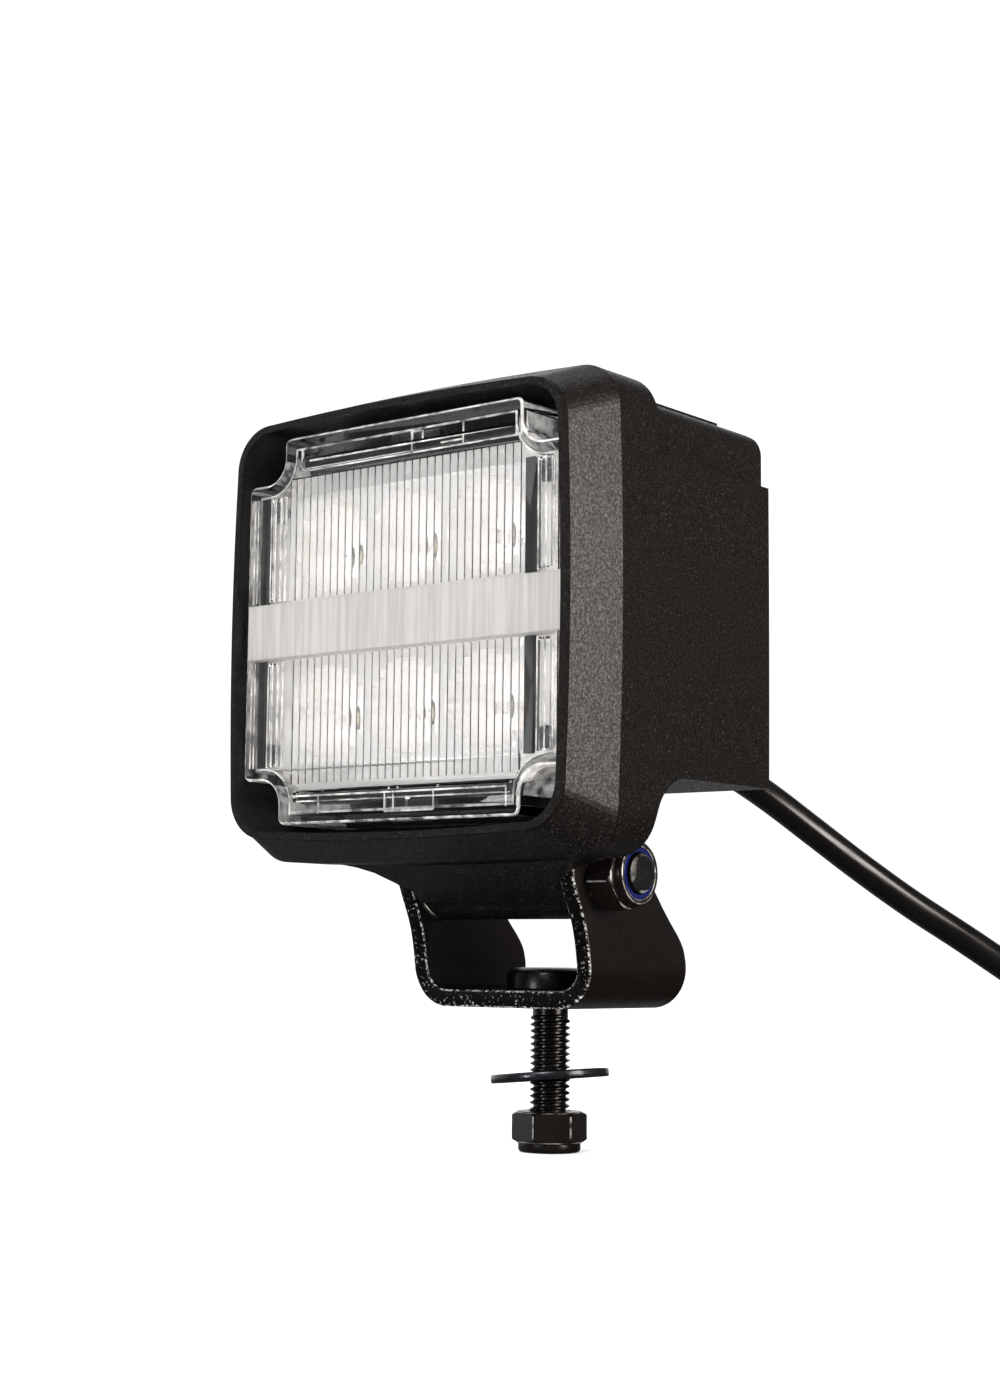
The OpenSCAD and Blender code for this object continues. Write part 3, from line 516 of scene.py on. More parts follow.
# the thread's profile from one crest to the next, as (part of the pitch, radius)
THREAD = ((0.0, M8_R), (0.14, M8_R), (0.42, M8_ROOT), (0.7, M8_ROOT))
SOCKET_AF = 5
STEEL = 3.4
BRACKET_HALF = 22.0
PIVOT = Vector((0, -11.5, 25.8))
BOLT_TIP_X = 31.1
BOLT_CHAMFER = 0.8
STUD_NUT_Z = -20.4
WASHER_Z = -13.5
WASHER_LEAN = math.radians(5.5)
PIVOT_NUT_TURN = math.radians(12)
STUD_NUT_TURN = math.radians(-13)
# rows of a lock nut's faces: its flat sides, and those in both chamfers and round the collar's edges that get
# a painted highlight
NUT_SIDE_ROW = 7
NUT_HIGHLIGHT_ROWS = (3, 11, 17, 19)


def hex_radius(angle, across):
    """Distance from the axis to a hexagon's side."""
    turn = (angle + math.pi / 6) % (math.pi / 3) - math.pi / 6
    return across / 2 / math.cos(turn)


def hex_ring(limit, z, steps, across=AF):
    """A ring on the hexagon, cut back to the chamfer's cone where that is smaller."""
    ring = []
    for j in range(steps):
        a = 2 * math.pi * j / steps
        r = min(hex_radius(a, across), limit)
        ring.append(Vector((r * math.cos(a), r * math.sin(a), z)))
    return ring


def lock_nut(steps=144):
    """Points, faces and painted-highlight marks of a chamfered hexagon with a round collar that holds the
    nylon ring.
    """
    seat, hex_top, collar = 6.3, NUT_H - 1.8, 6.2
    bore = M8_R + 0.05
    slope = math.tan(math.radians(60))
    rings = [round_ring(4.5, 0, steps), round_ring(seat - 0.15, 0, steps)]
    rings += [hex_ring(seat + z * slope, z, steps)
              for z in (0.03, 0.12, 0.25, 0.4, 0.55, 0.75)]
    rings += [hex_ring(collar + 0.1 + z * slope, hex_top - z, steps)
              for z in (0.95, 0.7, 0.5, 0.32, 0.16, 0.05)]
    rings += [round_ring(r, z, steps) for r, z in
              ((collar, hex_top + 0.1), (collar, NUT_H - 0.7), (collar - 0.12, NUT_H - 0.35),
               (collar - 0.35, NUT_H - 0.1), (collar - 0.6, NUT_H), (5.2, NUT_H - 0.04), (4.98, NUT_H - 0.14),
               (4.95, NUT_H - 0.3), (5.4, NUT_H - 0.32), (5.4, NUT_H - 2), (bore, NUT_H - 2), (bore, 0.45))]
    points, faces = close_rings(rings, steps, loop=True)
    # the chamfer rows, the collar's edges and a narrow face at each hex corner get the painted highlight
    marks = []
    for i in range(len(faces)):
        row, j = divmod(i, steps)
        corner = row == NUT_SIDE_ROW and j % (steps // 6) == steps // 12
        marks.append(1 if corner or row in NUT_HIGHLIGHT_ROWS else 0)
    return points, faces, marks


def threaded_rod(rings_above, top, low, rings_below, steps=48):
    """One closed column: flat rings above, a right-hand thread from top to low, flat rings below."""
    count = int((top - low) / M8_PITCH) - 1
    span = top - low - M8_PITCH
    per_turn = len(THREAD)
    total = count * per_turn
    rings = list(rings_above) + [round_ring(M8_BLANK, top, steps)]
    for k in range(total + 1):
        turn, part = divmod(k, per_turn)
        down = (turn + THREAD[part][0]) * span / count
        r = THREAD[part][1] if 0 < turn < count else M8_BLANK
        rings.append([Vector((r * math.cos(2 * math.pi * j / steps), r * math.sin(2 * math.pi * j / steps),
                              top - M8_PITCH + M8_PITCH * j / steps - down)) for j in range(steps)])
    rings += [round_ring(M8_BLANK, low, steps)] + list(rings_below)
    points = [p for ring in rings for p in ring]
    first = len(rings_above) + 1
    last = first + total
    seam = steps - 1
    faces = []
    for i in range(len(rings) - 1):
        for j in range(seam):
            faces.append((i * steps + j, i * steps + j + 1, (i + 1) * steps + j + 1, (i + 1) * steps + j))
        if i < first - 1 or i > last:
            faces.append((i * steps + seam, i * steps, (i + 1) * steps, (i + 1) * steps + seam))
        elif first <= i < last - per_turn:
            # the end of a thread ring meets the start of the same ring one turn away
            a = i + per_turn
            faces.append((a * steps + seam, i * steps, (i + 1) * steps, (a + 1) * steps + seam))
    # the flat faces where the thread starts and ends
    faces.append(tuple([(first - 1) * steps + seam, (first - 1) * steps, first * steps]
                       + [(first + k) * steps + seam for k in range(per_turn, -1, -1)]))
    faces.append(tuple([last * steps + seam] + [(last - per_turn + k) * steps for k in range(per_turn + 1)]
                       + [(last + 1) * steps, (last + 1) * steps + seam]))
    faces.append(tuple(range(steps - 1, -1, -1)))
    end = (len(rings) - 1) * steps
    faces.append(tuple(range(end, end + steps)))
    return points, faces


def make_stud():
    """Carriage bolt: low round head inside the bracket, thread below it."""
    steps = 48
    top, low = -0.3, SURFACE_Z + 1.3
    head = [round_ring(r, z, steps) for r, z in
            ((3.0, STEEL + 4.5), (6.6, STEEL + 4.43), (7.8, STEEL + 4.23), (8.5, STEEL + 3.8),
             (8.8, STEEL + 3.1), (8.8, STEEL + 0.35), (8.6, STEEL + 0.02), (M8_R, STEEL + 0.01),
             (M8_R, 0.3), (M8_BLANK, 0))]
    tip = [round_ring(r, z, steps) for r, z in ((M8_ROOT + 0.25, SURFACE_Z + 0.8), (3.1, SURFACE_Z + 0.5))]
    points, faces = threaded_rod(head, top, low, tip, steps)
    stud = add_piece("stud", points, faces, "bracket", "black_steel", [STUD_ZINC], sharp=24)
    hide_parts("mount_bolt")


def make_pivot_bolt():
    """Button-head bolt from the left; its thread ends just outside the lock nut."""
    steps = 48
    base = -BRACKET_HALF
    rings = [hex_ring(AF, base - deep, steps, SOCKET_AF) for deep in (0.65, 2.5)]
    rings += [round_ring(r, base - high, steps) for r, high in
              ((3.1, 2.6), (4.2, 2.58), (5.1, 2.2), (5.8, 1.6), (6.2, 1), (6.3, 0.5), (6.25, 0), (M8_R, 0))]
    rings.append(round_ring(M8_R, 19.5, steps))
    # made head up along Z, then turned so that the head points to the left
    rings = [[Vector((p.x, p.y, -p.z)) for p in ring] for ring in rings]
    tip = [round_ring(r, high - BOLT_TIP_X, steps) for r, high in ((3.75, 0.7), (3.3, 0.12), (3.1, 0))]
    points, faces = threaded_rod(rings, -20, -BOLT_TIP_X + 0.9, tip, steps)
    turn = Matrix.Translation(PIVOT) @ Matrix.Rotation(math.radians(-90), 4, "Y")
    points = place(points, turn)
    # the rim of the tip's chamfer gets the painted highlight
    marks = []
    for face in faces:
        middle = sum((points[i] for i in face), Vector()) / len(face)
        at_rim = (middle - PIVOT).yz.length > M8_ROOT - 0.05
        marks.append(1 if at_rim and middle.x > BOLT_TIP_X - BOLT_CHAMFER else 0)
    bolt = add_piece("pivot_bolt_threaded", points, faces, "bracket", "black_steel", [BOLT_ZINC, EDGE_HIGHLIGHT_PAINT],
                     sharp=24, marks=marks)
    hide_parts("pivot_bolt")


def make_nuts():
    """The pivot's lock nut on the bracket's right ear, and the stud's lock nut with its seat up."""
    points, faces, marks = lock_nut()
    # the nuts' paint, then the painted highlight on their edges
    paint = [MATERIALS["black_steel"], EDGE_HIGHLIGHT_PAINT]
    up = Matrix.Translation(PIVOT + Vector((BRACKET_HALF, 0, 0))) @ Matrix.Rotation(math.radians(90), 4, "Y")
    pivot = add_piece("pivot_lock_nut", place(points, up @ Matrix.Rotation(PIVOT_NUT_TURN, 4, "Z")), faces,
                      "bracket", "black_steel", paint, sharp=28, marks=marks)
    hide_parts("pivot_nut")
    down = Matrix.Translation((0, 0, STUD_NUT_Z)) @ Matrix.Rotation(math.pi, 4, "X")
    stud = add_piece("stud_lock_nut", place(points, down @ Matrix.Rotation(STUD_NUT_TURN, 4, "Z")), faces,
                     "nut_body", "black_steel", paint, sharp=28, marks=marks)
    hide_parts("stud_nut")


def make_washer():
    """A flat ring with rounded edges, leaning a little on the stud."""
    r, half, hole, soft, steps = 11.8, 0.85, 4.45, 0.3, 96
    low = [(hole, soft - half), (hole + soft, -half),
           (r - soft, -half), (r - 0.1, 0.1 - half), (r, soft - half)]
    rings = [round_ring(a, z, steps) for a, z in low + [(a, -z) for a, z in reversed(low)]]
    points, faces = close_rings(rings, steps, loop=True)
    lean = Matrix.Translation((0, 0, WASHER_Z)) @ Matrix.Rotation(-WASHER_LEAN, 4, "Y")
    washer = add_piece("washer", place(points, lean), faces, "washer_body", "black_zinc", sharp=40)
    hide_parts("stud_washer")


# ---------- bracket ----------
FLOOR_HALF = 14.0
BEND_MID = 6.3
BEND_Z = 8.0
BEND_END = FLOOR_HALF + BEND_MID * math.pi / 2
BEND_STEPS = 14
EAR_R = 10.5
STRIP_HALF = 16.0
FRONT_STRAIGHT = 20.8
REAR_STRAIGHT = 22.3
SQUARE_HALF = 4.1
CUT_SOFT = 0.55
# side outline of a leg as (height, y): the front edge upwards, and the rear edge downwards
FRONT_EDGE = [(8, -16.4), (11.2, -16.9), (14.3, -17.6), (17.5, -18.7), (20.7, -20.2), (23.4, -21.4)]
REAR_EDGE = [(33, -3.9), (27.8, 0.9), (22.4, 5.6), (19.4, 8.2), (16.7, 10.8), (14.2, 13.3), (11.9, 15),
             (9.4, 15.8), (8, 15.95)]


def along(z):
    """Distance along the strip, from its middle, of a point at this height on a leg."""
    return BEND_END + z - BEND_Z


def leg_edge(points):
    """A leg's curved edge on the flat strip."""
    return [q.to_2d() for q in smooth_line([(along(z), y, 0) for z, y in points], 3)]


def bracket_outline():
    """Flat pattern of the strip, as (distance along the bent strip, y), anticlockwise."""
    ear = arc(along(PIVOT.z), PIVOT.y, EAR_R, -98, 47, 28)
    half = [Vector((x, -STRIP_HALF)) for x in (0, FLOOR_HALF, FRONT_STRAIGHT)]
    half += leg_edge(FRONT_EDGE) + ear + leg_edge(REAR_EDGE)
    half += [Vector((x, STRIP_HALF)) for x in (REAR_STRAIGHT, FLOOR_HALF, 0)]
    other = [Vector((-q.x, q.y)) for q in reversed(half[1:-1])]
    return half + other


def bend_point(p):
    """A point of the flat strip, (along, y, inwards), on the bent bracket."""
    side = math.copysign(1, p.x)
    s = abs(p.x)
    if s <= FLOOR_HALF:
        return Vector((p.x, p.y, STEEL / 2 + p.z))
    turn = min((s - FLOOR_HALF) / BEND_MID, math.pi / 2)
    r = BEND_MID - p.z
    x = FLOOR_HALF + r * math.sin(turn)
    z = BEND_Z - r * math.cos(turn) + max(0.0, s - BEND_END)
    return Vector((side * x, p.y, z))


def edge_mark(normal):
    """A flat face of the strip is 0, its sheared edge 1, and the rounding between them 2."""
    flat, sheared = 0.97, 0.2
    if abs(normal.z) >= flat:
        return 0
    return 1 if abs(normal.z) <= sheared else 2


def flat_strip():
    """The flat strip with its holes and rounded edges, as a mesh from a filled and bevelled curve."""
    curve = bpy.data.curves.new("strip", "CURVE")
    curve.dimensions = "2D"
    curve.fill_mode = "BOTH"
    curve.bevel_depth = CUT_SOFT
    curve.bevel_resolution = 3
    curve.extrude = STEEL / 2 - CUT_SOFT
    curve.offset = -CUT_SOFT
    outlines = [bracket_outline()]
    outlines += [circle_points(side * along(PIVOT.z), PIVOT.y, M8_R + 0.1, 40) for side in (-1, 1)]
    outlines.append([SQUARE_HALF * Vector(corner) for corner in ((-1, -1), (1, -1), (1, 1), (-1, 1))])
    for outline in outlines:
        spline = curve.splines.new("POLY")
        spline.points.add(len(outline) - 1)
        for point, q in zip(spline.points, outline):
            point.co = (q.x, q.y, 0, 1)
        spline.use_cyclic_u = True
    strip = link_new("strip", curve)
    bpy.context.view_layer.update()
    flat = bpy.data.meshes.new_from_object(strip.evaluated_get(bpy.context.evaluated_depsgraph_get()))
    bpy.data.objects.remove(strip)
    return flat


def make_bracket():
    """The strip is cut flat with rounded edges, then bent."""
    bm = bmesh.new()
    bm.from_mesh(flat_strip())
    bmesh.ops.remove_doubles(bm, verts=bm.verts, dist=1e-4)
    for side in (-1, 1):
        for i in range(BEND_STEPS + 1):
            at = side * (FLOOR_HALF + (BEND_END - FLOOR_HALF) * i / BEND_STEPS)
            bmesh.ops.bisect_plane(bm, geom=bm.verts[:] + bm.edges[:] + bm.faces[:], plane_co=(at, 0, 0),
                                   plane_no=(1, 0, 0), dist=1e-4)
    bm.normal_update()
    bm.verts.index_update()
    # the sheared edge and the rounding take the materials with painted glints
    marks = [edge_mark(f.normal) for f in bm.faces]
    points = [bend_point(v.co) for v in bm.verts]
    faces = [tuple(v.index for v in f.verts) for f in bm.faces]
    bm.free()
    bracket = add_piece("bent_bracket", points, faces, "bracket", "black_steel",
                        [MATERIALS["black_steel"], CUT_EDGE_GLINTS, CUT_RIM_GLINTS], sharp=30, marks=marks)
    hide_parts("bracket")


# ---------- lens ----------
LAMP_Z = 72.6
LENS_Y = -48.4
LENS_BACK = -30.85
SIDE_TAB = (39.2, 29.3)
TOP_TAB = (29.8, 38.0)
NOTCH_R = 4.8
LENS_WALL = 2.0
INNER_Y = LENS_Y + LENS_WALL
RIB_PITCH = 1.86
RIB_COUNT = 31
RIB_DEEP = 0.2
RIB_SPAN = (5.75, 30.0)
# raised pads on the inside of the lens as (x0, x1, z0, z1)
PADS = [(-26.6, 27.4, 31.5, 33.6), (-26.6, 27.4, -33.6, -31.5)]
PADS += [(x0, x1, z0, z1) for x0, x1 in ((-33.9, -31.2), (32.6, 35.6))
         for z0, z1 in ((6.2, 26.4), (-26.4, -6.2))]
PAD_DEEP = 0.9
# rows of the cup's faces that get the painted edge glint: two in the front bevel and one in the inner corner,
# and of the inner wall only the part that is less than WALL_BRIGHT_Z above or below the lamp's middle
BRIGHT_ROWS = (1, 2, 8)
WALL_ROW = 6
WALL_BRIGHT_Z = 35


def lens_outline(grow):
    """The lens seen from the front, anticlockwise from the right; grow moves the line outwards."""
    soft = max(0.3, 1.5 + grow)
    side_x, side_z = SIDE_TAB[0] + grow, SIDE_TAB[1] + grow
    top_x, top_z = TOP_TAB[0] + grow, TOP_TAB[1] + grow
    notch = (TOP_TAB[0] + NOTCH_R, SIDE_TAB[1] + NOTCH_R)
    quarter = [Vector((side_x, 0))] + arc(side_x - soft, side_z - soft, soft, 0, 90, 5)
    quarter += arc(notch[0], notch[1], NOTCH_R - grow, 270, 180, 10)
    quarter += arc(top_x - soft, top_z - soft, soft, 0, 90, 5)
    flip = [Vector((-q.x, q.y)) for q in reversed(quarter)]
    upper = [*quarter, Vector((0, top_z)), *flip]
    lower = [Vector((q.x, -q.y)) for q in reversed(upper[1:-1])]
    return upper + lower


def face_ring(outline, y):
    """An outline seen from the front, stood up at the depth y about the lamp's middle."""
    return [Vector((q.x, y, LAMP_Z + q.y)) for q in outline]


def rib_profile(x0):
    """Rounded ribs side by side, as (x, depth)."""
    steps = 10
    line = []
    for i in range(RIB_COUNT):
        for j in range(steps):
            t = j / steps
            line.append((x0 + (i + t) * RIB_PITCH, RIB_DEEP * (0.03 + 0.97 * (1 - (2 * t - 1) ** 2))))
    line[0] = (x0, 0.0)
    line.append((x0 + RIB_COUNT * RIB_PITCH, 0.0))
    return line


def ridge(profile, y, z0, z1):
    """A prism standing on the plane y, open towards it: its skin and its two end caps."""
    n = len(profile)
    points = [Vector((x, y + d, LAMP_Z + z)) for z in (z0, z1) for x, d in profile]
    faces = [(i, i + 1, n + i + 1, n + i) for i in range(n - 1)]
    faces += [tuple(range(n)), tuple(range(2 * n - 1, n - 1, -1))]
    return points, faces


def box_corners(x0, x1, z0, z1, inset):
    """The corners of a rectangle made smaller by inset on every side, anticlockwise from the lower left."""
    left, right, low, high = x0 + inset, x1 - inset, z0 + inset, z1 - inset
    return [(left, low), (right, low), (right, high), (left, high)]


def pad(x0, x1, z0, z1, y, deep, slope=0.35):
    """A low block with sloping sides standing on the plane y."""
    points = [Vector((x, y, LAMP_Z + z)) for x, z in box_corners(x0, x1, z0, z1, 0)]
    points += [Vector((x, y + deep, LAMP_Z + z)) for x, z in box_corners(x0, x1, z0, z1, slope)]
    faces = [(i, (i + 1) % 4, 4 + (i + 1) % 4, 4 + i) for i in range(4)] + [(4, 5, 6, 7)]
    return points, faces


def holed_face(outline, holes, y):
    """A flat face with holes, as triangles."""
    loops = [face_ring(outline, y)]
    loops += [face_ring([Vector(q) for q in hole], y) for hole in holes]
    triangles = tessellate_polygon([[Vector((q.x, q.z, 0)) for q in loop] for loop in loops])
    return [q for loop in loops for q in loop], [tuple(t) for t in triangles]


def make_lens():
    """One closed cup: bevelled front edge, thin walls, ribs and pads on the inside of the front."""
    outer = [(-0.8, LENS_Y), (-0.52, LENS_Y + 0.04), (-0.24, LENS_Y + 0.2), (-0.06, LENS_Y + 0.48),
             (0, LENS_Y + 0.8), (0, LENS_BACK)]
    inner = [(-LENS_WALL, LENS_BACK), (-LENS_WALL, INNER_Y + 0.6), (-LENS_WALL - 0.18, INNER_Y + 0.18),
             (-LENS_WALL - 0.6, INNER_Y)]
    rings = [face_ring(lens_outline(grow), y) for grow, y in outer + inner]
    steps = len(rings[0])
    shell = close_rings(rings, steps)
    front = (rings[0], [tuple(range(steps))])
    half = RIB_PITCH * RIB_COUNT / 2
    low, high = RIB_SPAN
    blocks = [(-half, half, low, high), (-half, half, -high, -low)]
    holes = [box_corners(*box, 0) for box in blocks + PADS]
    back = holed_face(lens_outline(inner[-1][0]), holes, INNER_Y)
    ribs = [ridge(rib_profile(-half), INNER_Y, z0, z1) for _, _, z0, z1 in blocks]
    pads = [pad(*box, INNER_Y, PAD_DEEP) for box in PADS]
    points, faces = join(shell, front, back, *ribs, *pads)
    # marked faces take the painted edge glint
    marks = [0] * len(faces)
    for i, face in enumerate(shell[1]):
        row = i // steps
        height = abs(points[face[0]].z - LAMP_Z)
        if row in BRIGHT_ROWS or (row == WALL_ROW and height < WALL_BRIGHT_Z):
            marks[i] = 1
    lens = add_piece("clear_lens", points, faces, "lamp_head", "lens_clear",
                     [MATERIALS["lens_clear"], PAINTED_EDGE_LIGHT], sharp=25, marks=marks)
    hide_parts("lens", "lens_ribs")


# thin moulded ribs on the inside of the lens, drawn with the painted edge glint, as (x0, z0, x1, z1): low and
# high ones lie in the bottom and top tabs, side ones stand beside the window
LOW_LINES = [(-27.5, -32.4, 25.8, -32.4), (-27.5, -32.4, -27.5, -36), (-20, -32.4, -20, -36),
             (25.8, -32.4, 25.8, -36), (8.8, -32.4, 8.8, -36), (-3.1, -32.4, -3.1, -36), (-1, -32.8, -1, -36),
             (-3.1, -36, 8.8, -36)]
HIGH_LINES = [(-26, 31.2, 28.3, 31.2), (-24, 33.1, 26.5, 33.1), (2.4, 31.2, 2.4, 35.2), (5, 33.1, 5, 35.2),
              (2.4, 35.2, 5, 35.2), (14.9, 31.4, 14.9, 35.4), (9.5, 32.2, 14.9, 32.2),
              (27.4, 31.2, 27.4, 35.6), (28.6, 31.2, 28.6, 35.6), (-26, 31.2, -26, 35.8)]
SIDE_LINES = [(x, side * 6, x, side * 26.6) for side in (-1, 1)
              for x in (-38.5, -37.6, -34, -32.8, -31.4, -30.1, 32.6, 34.4, 36.2)]
LINE_Y = INNER_Y + 0.03
LINE_HALF = 0.17
LINE_DEEP = 0.4


def make_lines():
    """The thin ribs as low prisms in the painted edge glint, just behind the inside of the front."""
    ribs = []
    for x0, z0, x1, z1 in LOW_LINES + HIGH_LINES + SIDE_LINES:
        across = (LINE_HALF, 0) if x0 == x1 else (0, LINE_HALF)
        points = []
        for x, z in ((x0, z0), (x1, z1)):
            points += [Vector((x - across[0], LINE_Y, LAMP_Z + z - across[1])),
                       Vector((x + across[0], LINE_Y, LAMP_Z + z + across[1])),
                       Vector((x, LINE_Y + LINE_DEEP, LAMP_Z + z))]
        ribs.append((points, [(0, 1, 4, 3), (1, 2, 5, 4), (2, 0, 3, 5), (0, 2, 1), (3, 4, 5)]))
    points, faces = join(*ribs)
    add_piece("lens_lines", points, faces, "lamp_head", "lens_clear", [PAINTED_EDGE_LIGHT], sharp=20)


# ---------- reflector ----------
TRAY_Y = -43.8
TRAY_TOP = (27.3, 30.9)
TRAY_GAP = 0.5
TRAY_SHEET = 0.4
CUP_FLOOR_Y = -31.0
CUP_R = 9.2
CUP_HOLE_R = 2.3
CUP_DX = 19.3
CUP_DZ = 16.0
CUP_STEPS = 72
CUP_ROWS = 14
FACET_DEEP = 0.16


def tray_outline():
    """The lens outline shrunk, and cut off above and below the ribbed window."""
    top_x, top_z = TRAY_TOP
    right = [q for q in lens_outline(-LENS_WALL - TRAY_GAP) if q.x > 0 and 0 < q.y <= top_z]
    right.sort(key=lambda q: (q.y, -q.x))
    left = [Vector((-q.x, q.y)) for q in reversed(right)]
    upper = right + [Vector((top_x, top_z)), Vector((-top_x, top_z))] + left
    lower = [Vector((-q.x, -q.y)) for q in upper]
    return upper + lower


def cup(cx, cz):
    """A bright bowl with twelve twisted facets, open at the bottom for the LED."""
    rings = []
    for i in range(CUP_ROWS + 1):
        t = i / CUP_ROWS
        y = TRAY_Y + (CUP_FLOOR_Y - TRAY_Y) * math.sin(t * math.pi / 2)
        r = CUP_HOLE_R + (CUP_R - CUP_HOLE_R) * math.cos(t * math.pi / 2)
        wave = FACET_DEEP * math.sin(math.pi * t)
        ring = []
        for j in range(CUP_STEPS):
            a = 2 * math.pi * j / CUP_STEPS
            bent = r - wave + 2 * wave * abs(math.sin(6 * a + 4 * t))
            ring.append(Vector((cx + bent * math.cos(a), y, LAMP_Z + cz + bent * math.sin(a))))
        rings.append(ring)
    return close_rings(rings, CUP_STEPS)


def make_reflector():
    """The metallised tray with its six cups."""
    centres = [(ix * CUP_DX, iz * CUP_DZ) for ix in (-1, 0, 1) for iz in (-1, 1)]
    circles = [circle_points(cx, cz, CUP_R, CUP_STEPS) for cx, cz in centres]
    plate = holed_face(tray_outline(), circles, TRAY_Y)
    points, faces = join(plate, *[cup(cx, cz) for cx, cz in centres])
    marks = [0] * len(plate[1]) + [1] * (len(faces) - len(plate[1]))
    # tray and cups both carry the painted glow
    tray = add_piece("bright_reflector", points, faces, "lamp_head", "reflector_silver",
                     [MATERIALS["reflector_silver"], CUP_CHROME_PAINTED_GLOW], sharp=20, marks=marks)
    shell = tray.modifiers.new("shell", "SOLIDIFY")
    shell.thickness = TRAY_SHEET * MM
    shell.offset = 0
    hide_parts("reflector")


# ---------- black strips beside, above and below the ribbed window ----------
# as (x0, x1, z0, z1) above the lamp's middle; each has a twin below the middle
STRIP_Y = (INNER_Y + 0.05, INNER_Y + 1.05)
STRIPS = [(-37.0, -34.8, 5.7, 26.8), (29.5, 31.6, 5.7, 26.8)]
TRIM_Y = (-43.8, -42.4)
TRIMS = [(-27.2, 27.2, 31.0, 33.8), (-3.2, 8.4, 33.0, 35.6)]


def soft_box(x0, x1, y0, y1, z0, z1, soft=0.18):
    """A box whose front face has bevelled edges."""
    rings = []
    for inset, y in ((soft, y0), (0, y0 + soft), (0, y1)):
        rings.append([Vector((x, y, LAMP_Z + z)) for x, z in box_corners(x0, x1, z0, z1, inset)])
    points, faces = close_rings(rings, 4)
    return points, faces + [(0, 1, 2, 3), (8, 9, 10, 11)]


def make_strips():
    """The upright strips just behind the lens's front, and the trim at the reflector's depth."""
    boxes = []
    for side in (-1, 1):
        for x0, x1, z0, z1 in STRIPS:
            boxes.append(soft_box(x0, x1, *STRIP_Y, *sorted((side * z0, side * z1))))
        for x0, x1, z0, z1 in TRIMS:
            boxes.append(soft_box(x0, x1, *TRIM_Y, *sorted((side * z0, side * z1))))
    points, faces = join(*boxes)
    strips = add_piece("black_strips", points, faces, "lamp_head", "trim_black", sharp=30)
    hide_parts("divider_bars")


# ---------- light band ----------
BAND_HALF = 5.4
BAND_FACE_X = 38.9
BAND_TRAY_X = 36.9
BAND_BACK = -43.9


def make_band():
    """The milky light guide: a tray behind the lens, and its face moulded into the lens from edge to edge."""
    face = soft_box(-BAND_FACE_X, BAND_FACE_X, LENS_Y + 0.35, INNER_Y - 0.1, -BAND_HALF, BAND_HALF)
    tray = soft_box(-BAND_TRAY_X, BAND_TRAY_X, INNER_Y + 0.04, BAND_BACK, -BAND_HALF, BAND_HALF)
    points, faces = join(face, tray)
    band = add_piece("milky_band", points, faces, "lamp_head", "frosted_white", sharp=30)
    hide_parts("light_band")


# ---------- room ----------
BRIGHT_SIDE = (-0.906, 0.423, 0)
WARM = (1, 0.91, 0.84)
FLOOR_REACH = 6000
FLOOR_DROP = 0.05
LIGHT_TARGET = Vector((0, 0, 50)) * MM
LIGHT_DISTANCE = 1.6


def make_floor():
    """Pale paper under the lamp. Reflections do not show it, so that the lamp's undersides stay dark."""
    n = Nodes("floor_paper")
    n.set(base=(0.93, 0.93, 0.93), rough=0.8, glow=0.4, glow_colour=(1, 1, 1))
    corners = [(x * FLOOR_REACH, y * FLOOR_REACH, SURFACE_Z - FLOOR_DROP)
               for x, y in ((-1, -1), (1, -1), (1, 1), (-1, 1))]
    floor = new_mesh_object("floor", corners, [(0, 1, 2, 3)], [n.mat])
    floor.visible_glossy = False


def turn_light(light, way):
    """Turns a light so that it shines from the direction way."""
    light.rotation_mode = "QUATERNION"
    light.rotation_quaternion = way.to_track_quat("Z", "Y")


def add_softbox(name, direction, size, power, colour=(1, 1, 1)):
    """An area light that faces the lamp."""
    data = bpy.data.lights.new(name, "AREA")
    data.shape = "RECTANGLE"
    data.size, data.size_y = size
    data.energy = power
    data.color = colour
    light = link_new(name, data)
    way = Vector(direction).normalized()
    light.location = LIGHT_TARGET + way * LIGHT_DISTANCE
    turn_light(light, way)


def add_sun(name, direction, strength, spread):
    """A distant light; spread is its width in degrees, and the wider it is the softer its shadows are."""
    data = bpy.data.lights.new(name, "SUN")
    data.energy = strength
    data.angle = math.radians(spread)
    turn_light(link_new(name, data), Vector(direction).normalized())


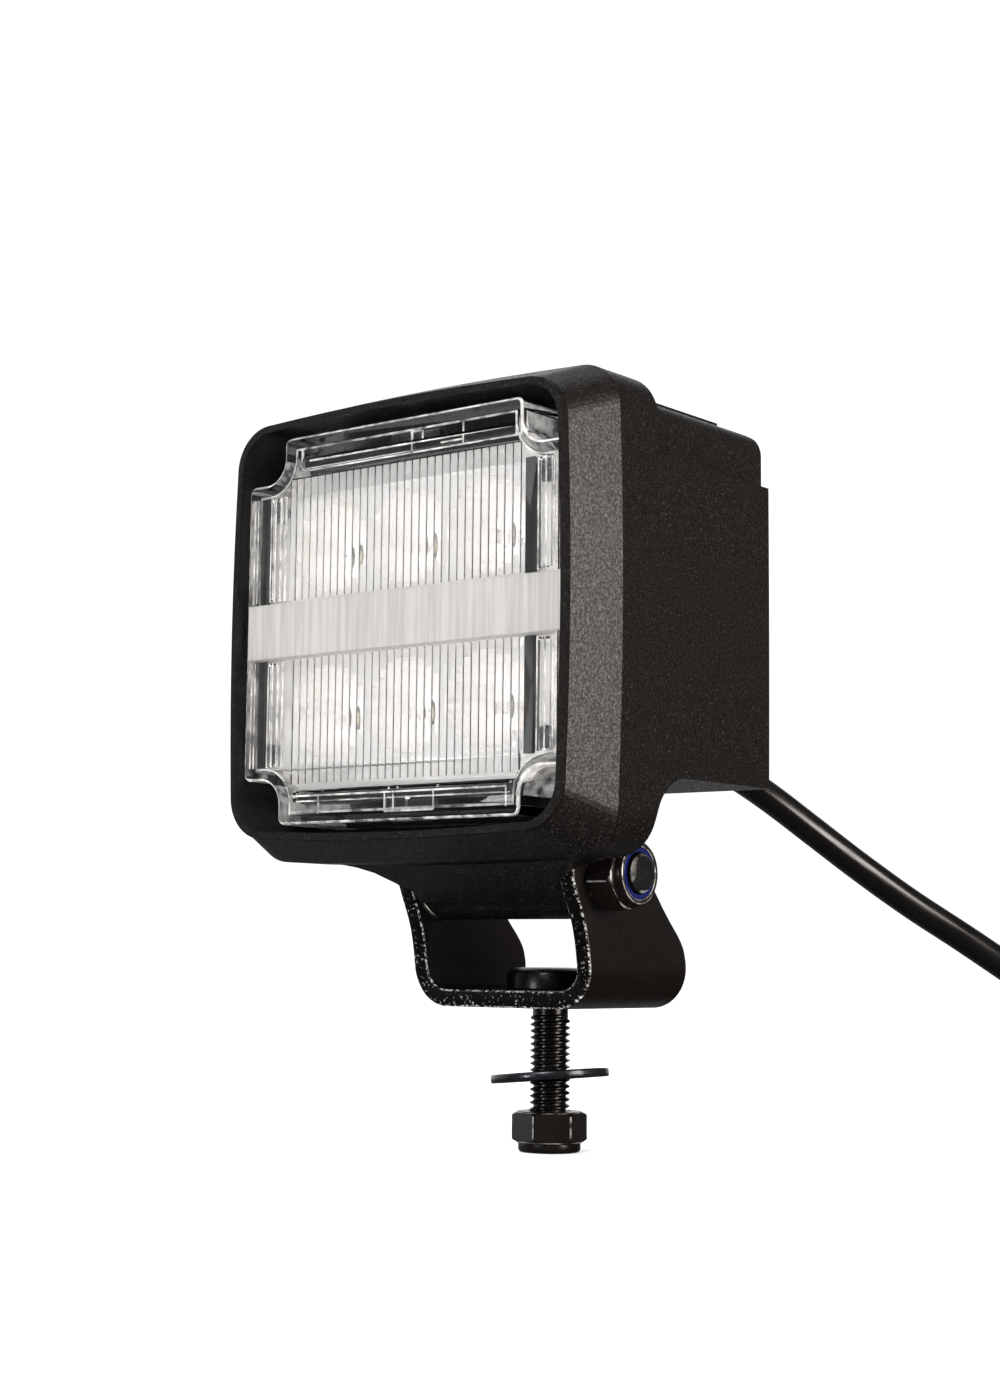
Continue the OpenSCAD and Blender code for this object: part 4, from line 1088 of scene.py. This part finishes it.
def map_range(tree, value, low, high, at_low, at_high):
    """The value mapped from low and high to at_low and at_high, and held at those beyond them."""
    node = tree.nodes.new("ShaderNodeMapRange")
    for key, number in (("From Min", low), ("From Max", high), ("To Min", at_low), ("To Max", at_high)):
        node.inputs[key].default_value = number
    tree.links.new(value, node.inputs["Value"])
    return node.outputs["Result"]


def multiply(tree, a, b):
    """The product of two values."""
    node = tree.nodes.new("ShaderNodeMath")
    node.operation = "MULTIPLY"
    tree.links.new(a, node.inputs[0])
    tree.links.new(b, node.inputs[1])
    return node.outputs["Value"]


def make_world():
    """A white room behind the lamp and on its left; a dim one on its right, overhead and below."""
    world = bpy.data.worlds.new("studio")
    bpy.context.scene.world = world
    world.use_nodes = True
    tree = world.node_tree
    way = tree.nodes.new("ShaderNodeTexCoord").outputs["Generated"]
    toward = tree.nodes.new("ShaderNodeVectorMath")
    toward.operation = "DOT_PRODUCT"
    toward.inputs[1].default_value = BRIGHT_SIDE
    tree.links.new(way, toward.inputs[0])
    split = tree.nodes.new("ShaderNodeSeparateXYZ")
    tree.links.new(way, split.inputs["Vector"])
    height = split.outputs["Z"]
    sides = map_range(tree, toward.outputs["Value"], 0.42, 0.66, 0.11, 1.1)
    overhead = map_range(tree, height, 0.45, 0.8, 1.0, 0.25)
    below = map_range(tree, height, -0.12, -0.02, 0.12, 1.0)
    strength = multiply(tree, multiply(tree, sides, overhead), below)
    back = tree.nodes["Background"]
    back.inputs["Color"].default_value = (1, 1, 1, 1)
    tree.links.new(strength, back.inputs["Strength"])


make_camera()
make_cable()
make_stud()
make_pivot_bolt()
make_nuts()
make_washer()
make_bracket()
make_lens()
make_lines()
make_reflector()
make_strips()
make_band()
make_floor()
make_world()
add_softbox("right_box", (0.99, 0.03, 0.12), (0.6, 1.0), 36, WARM)
add_softbox("front_box", (0.3, -0.8, 0.55), (0.5, 0.5), 16)
add_softbox("low_box", (-0.15, -0.98, -0.005), (0.25, 0.35), 5)
add_sun("top_light", (-0.3, -0.3, 1), 2.4, 80)
bpy.context.scene.view_settings.view_transform = "Standard"
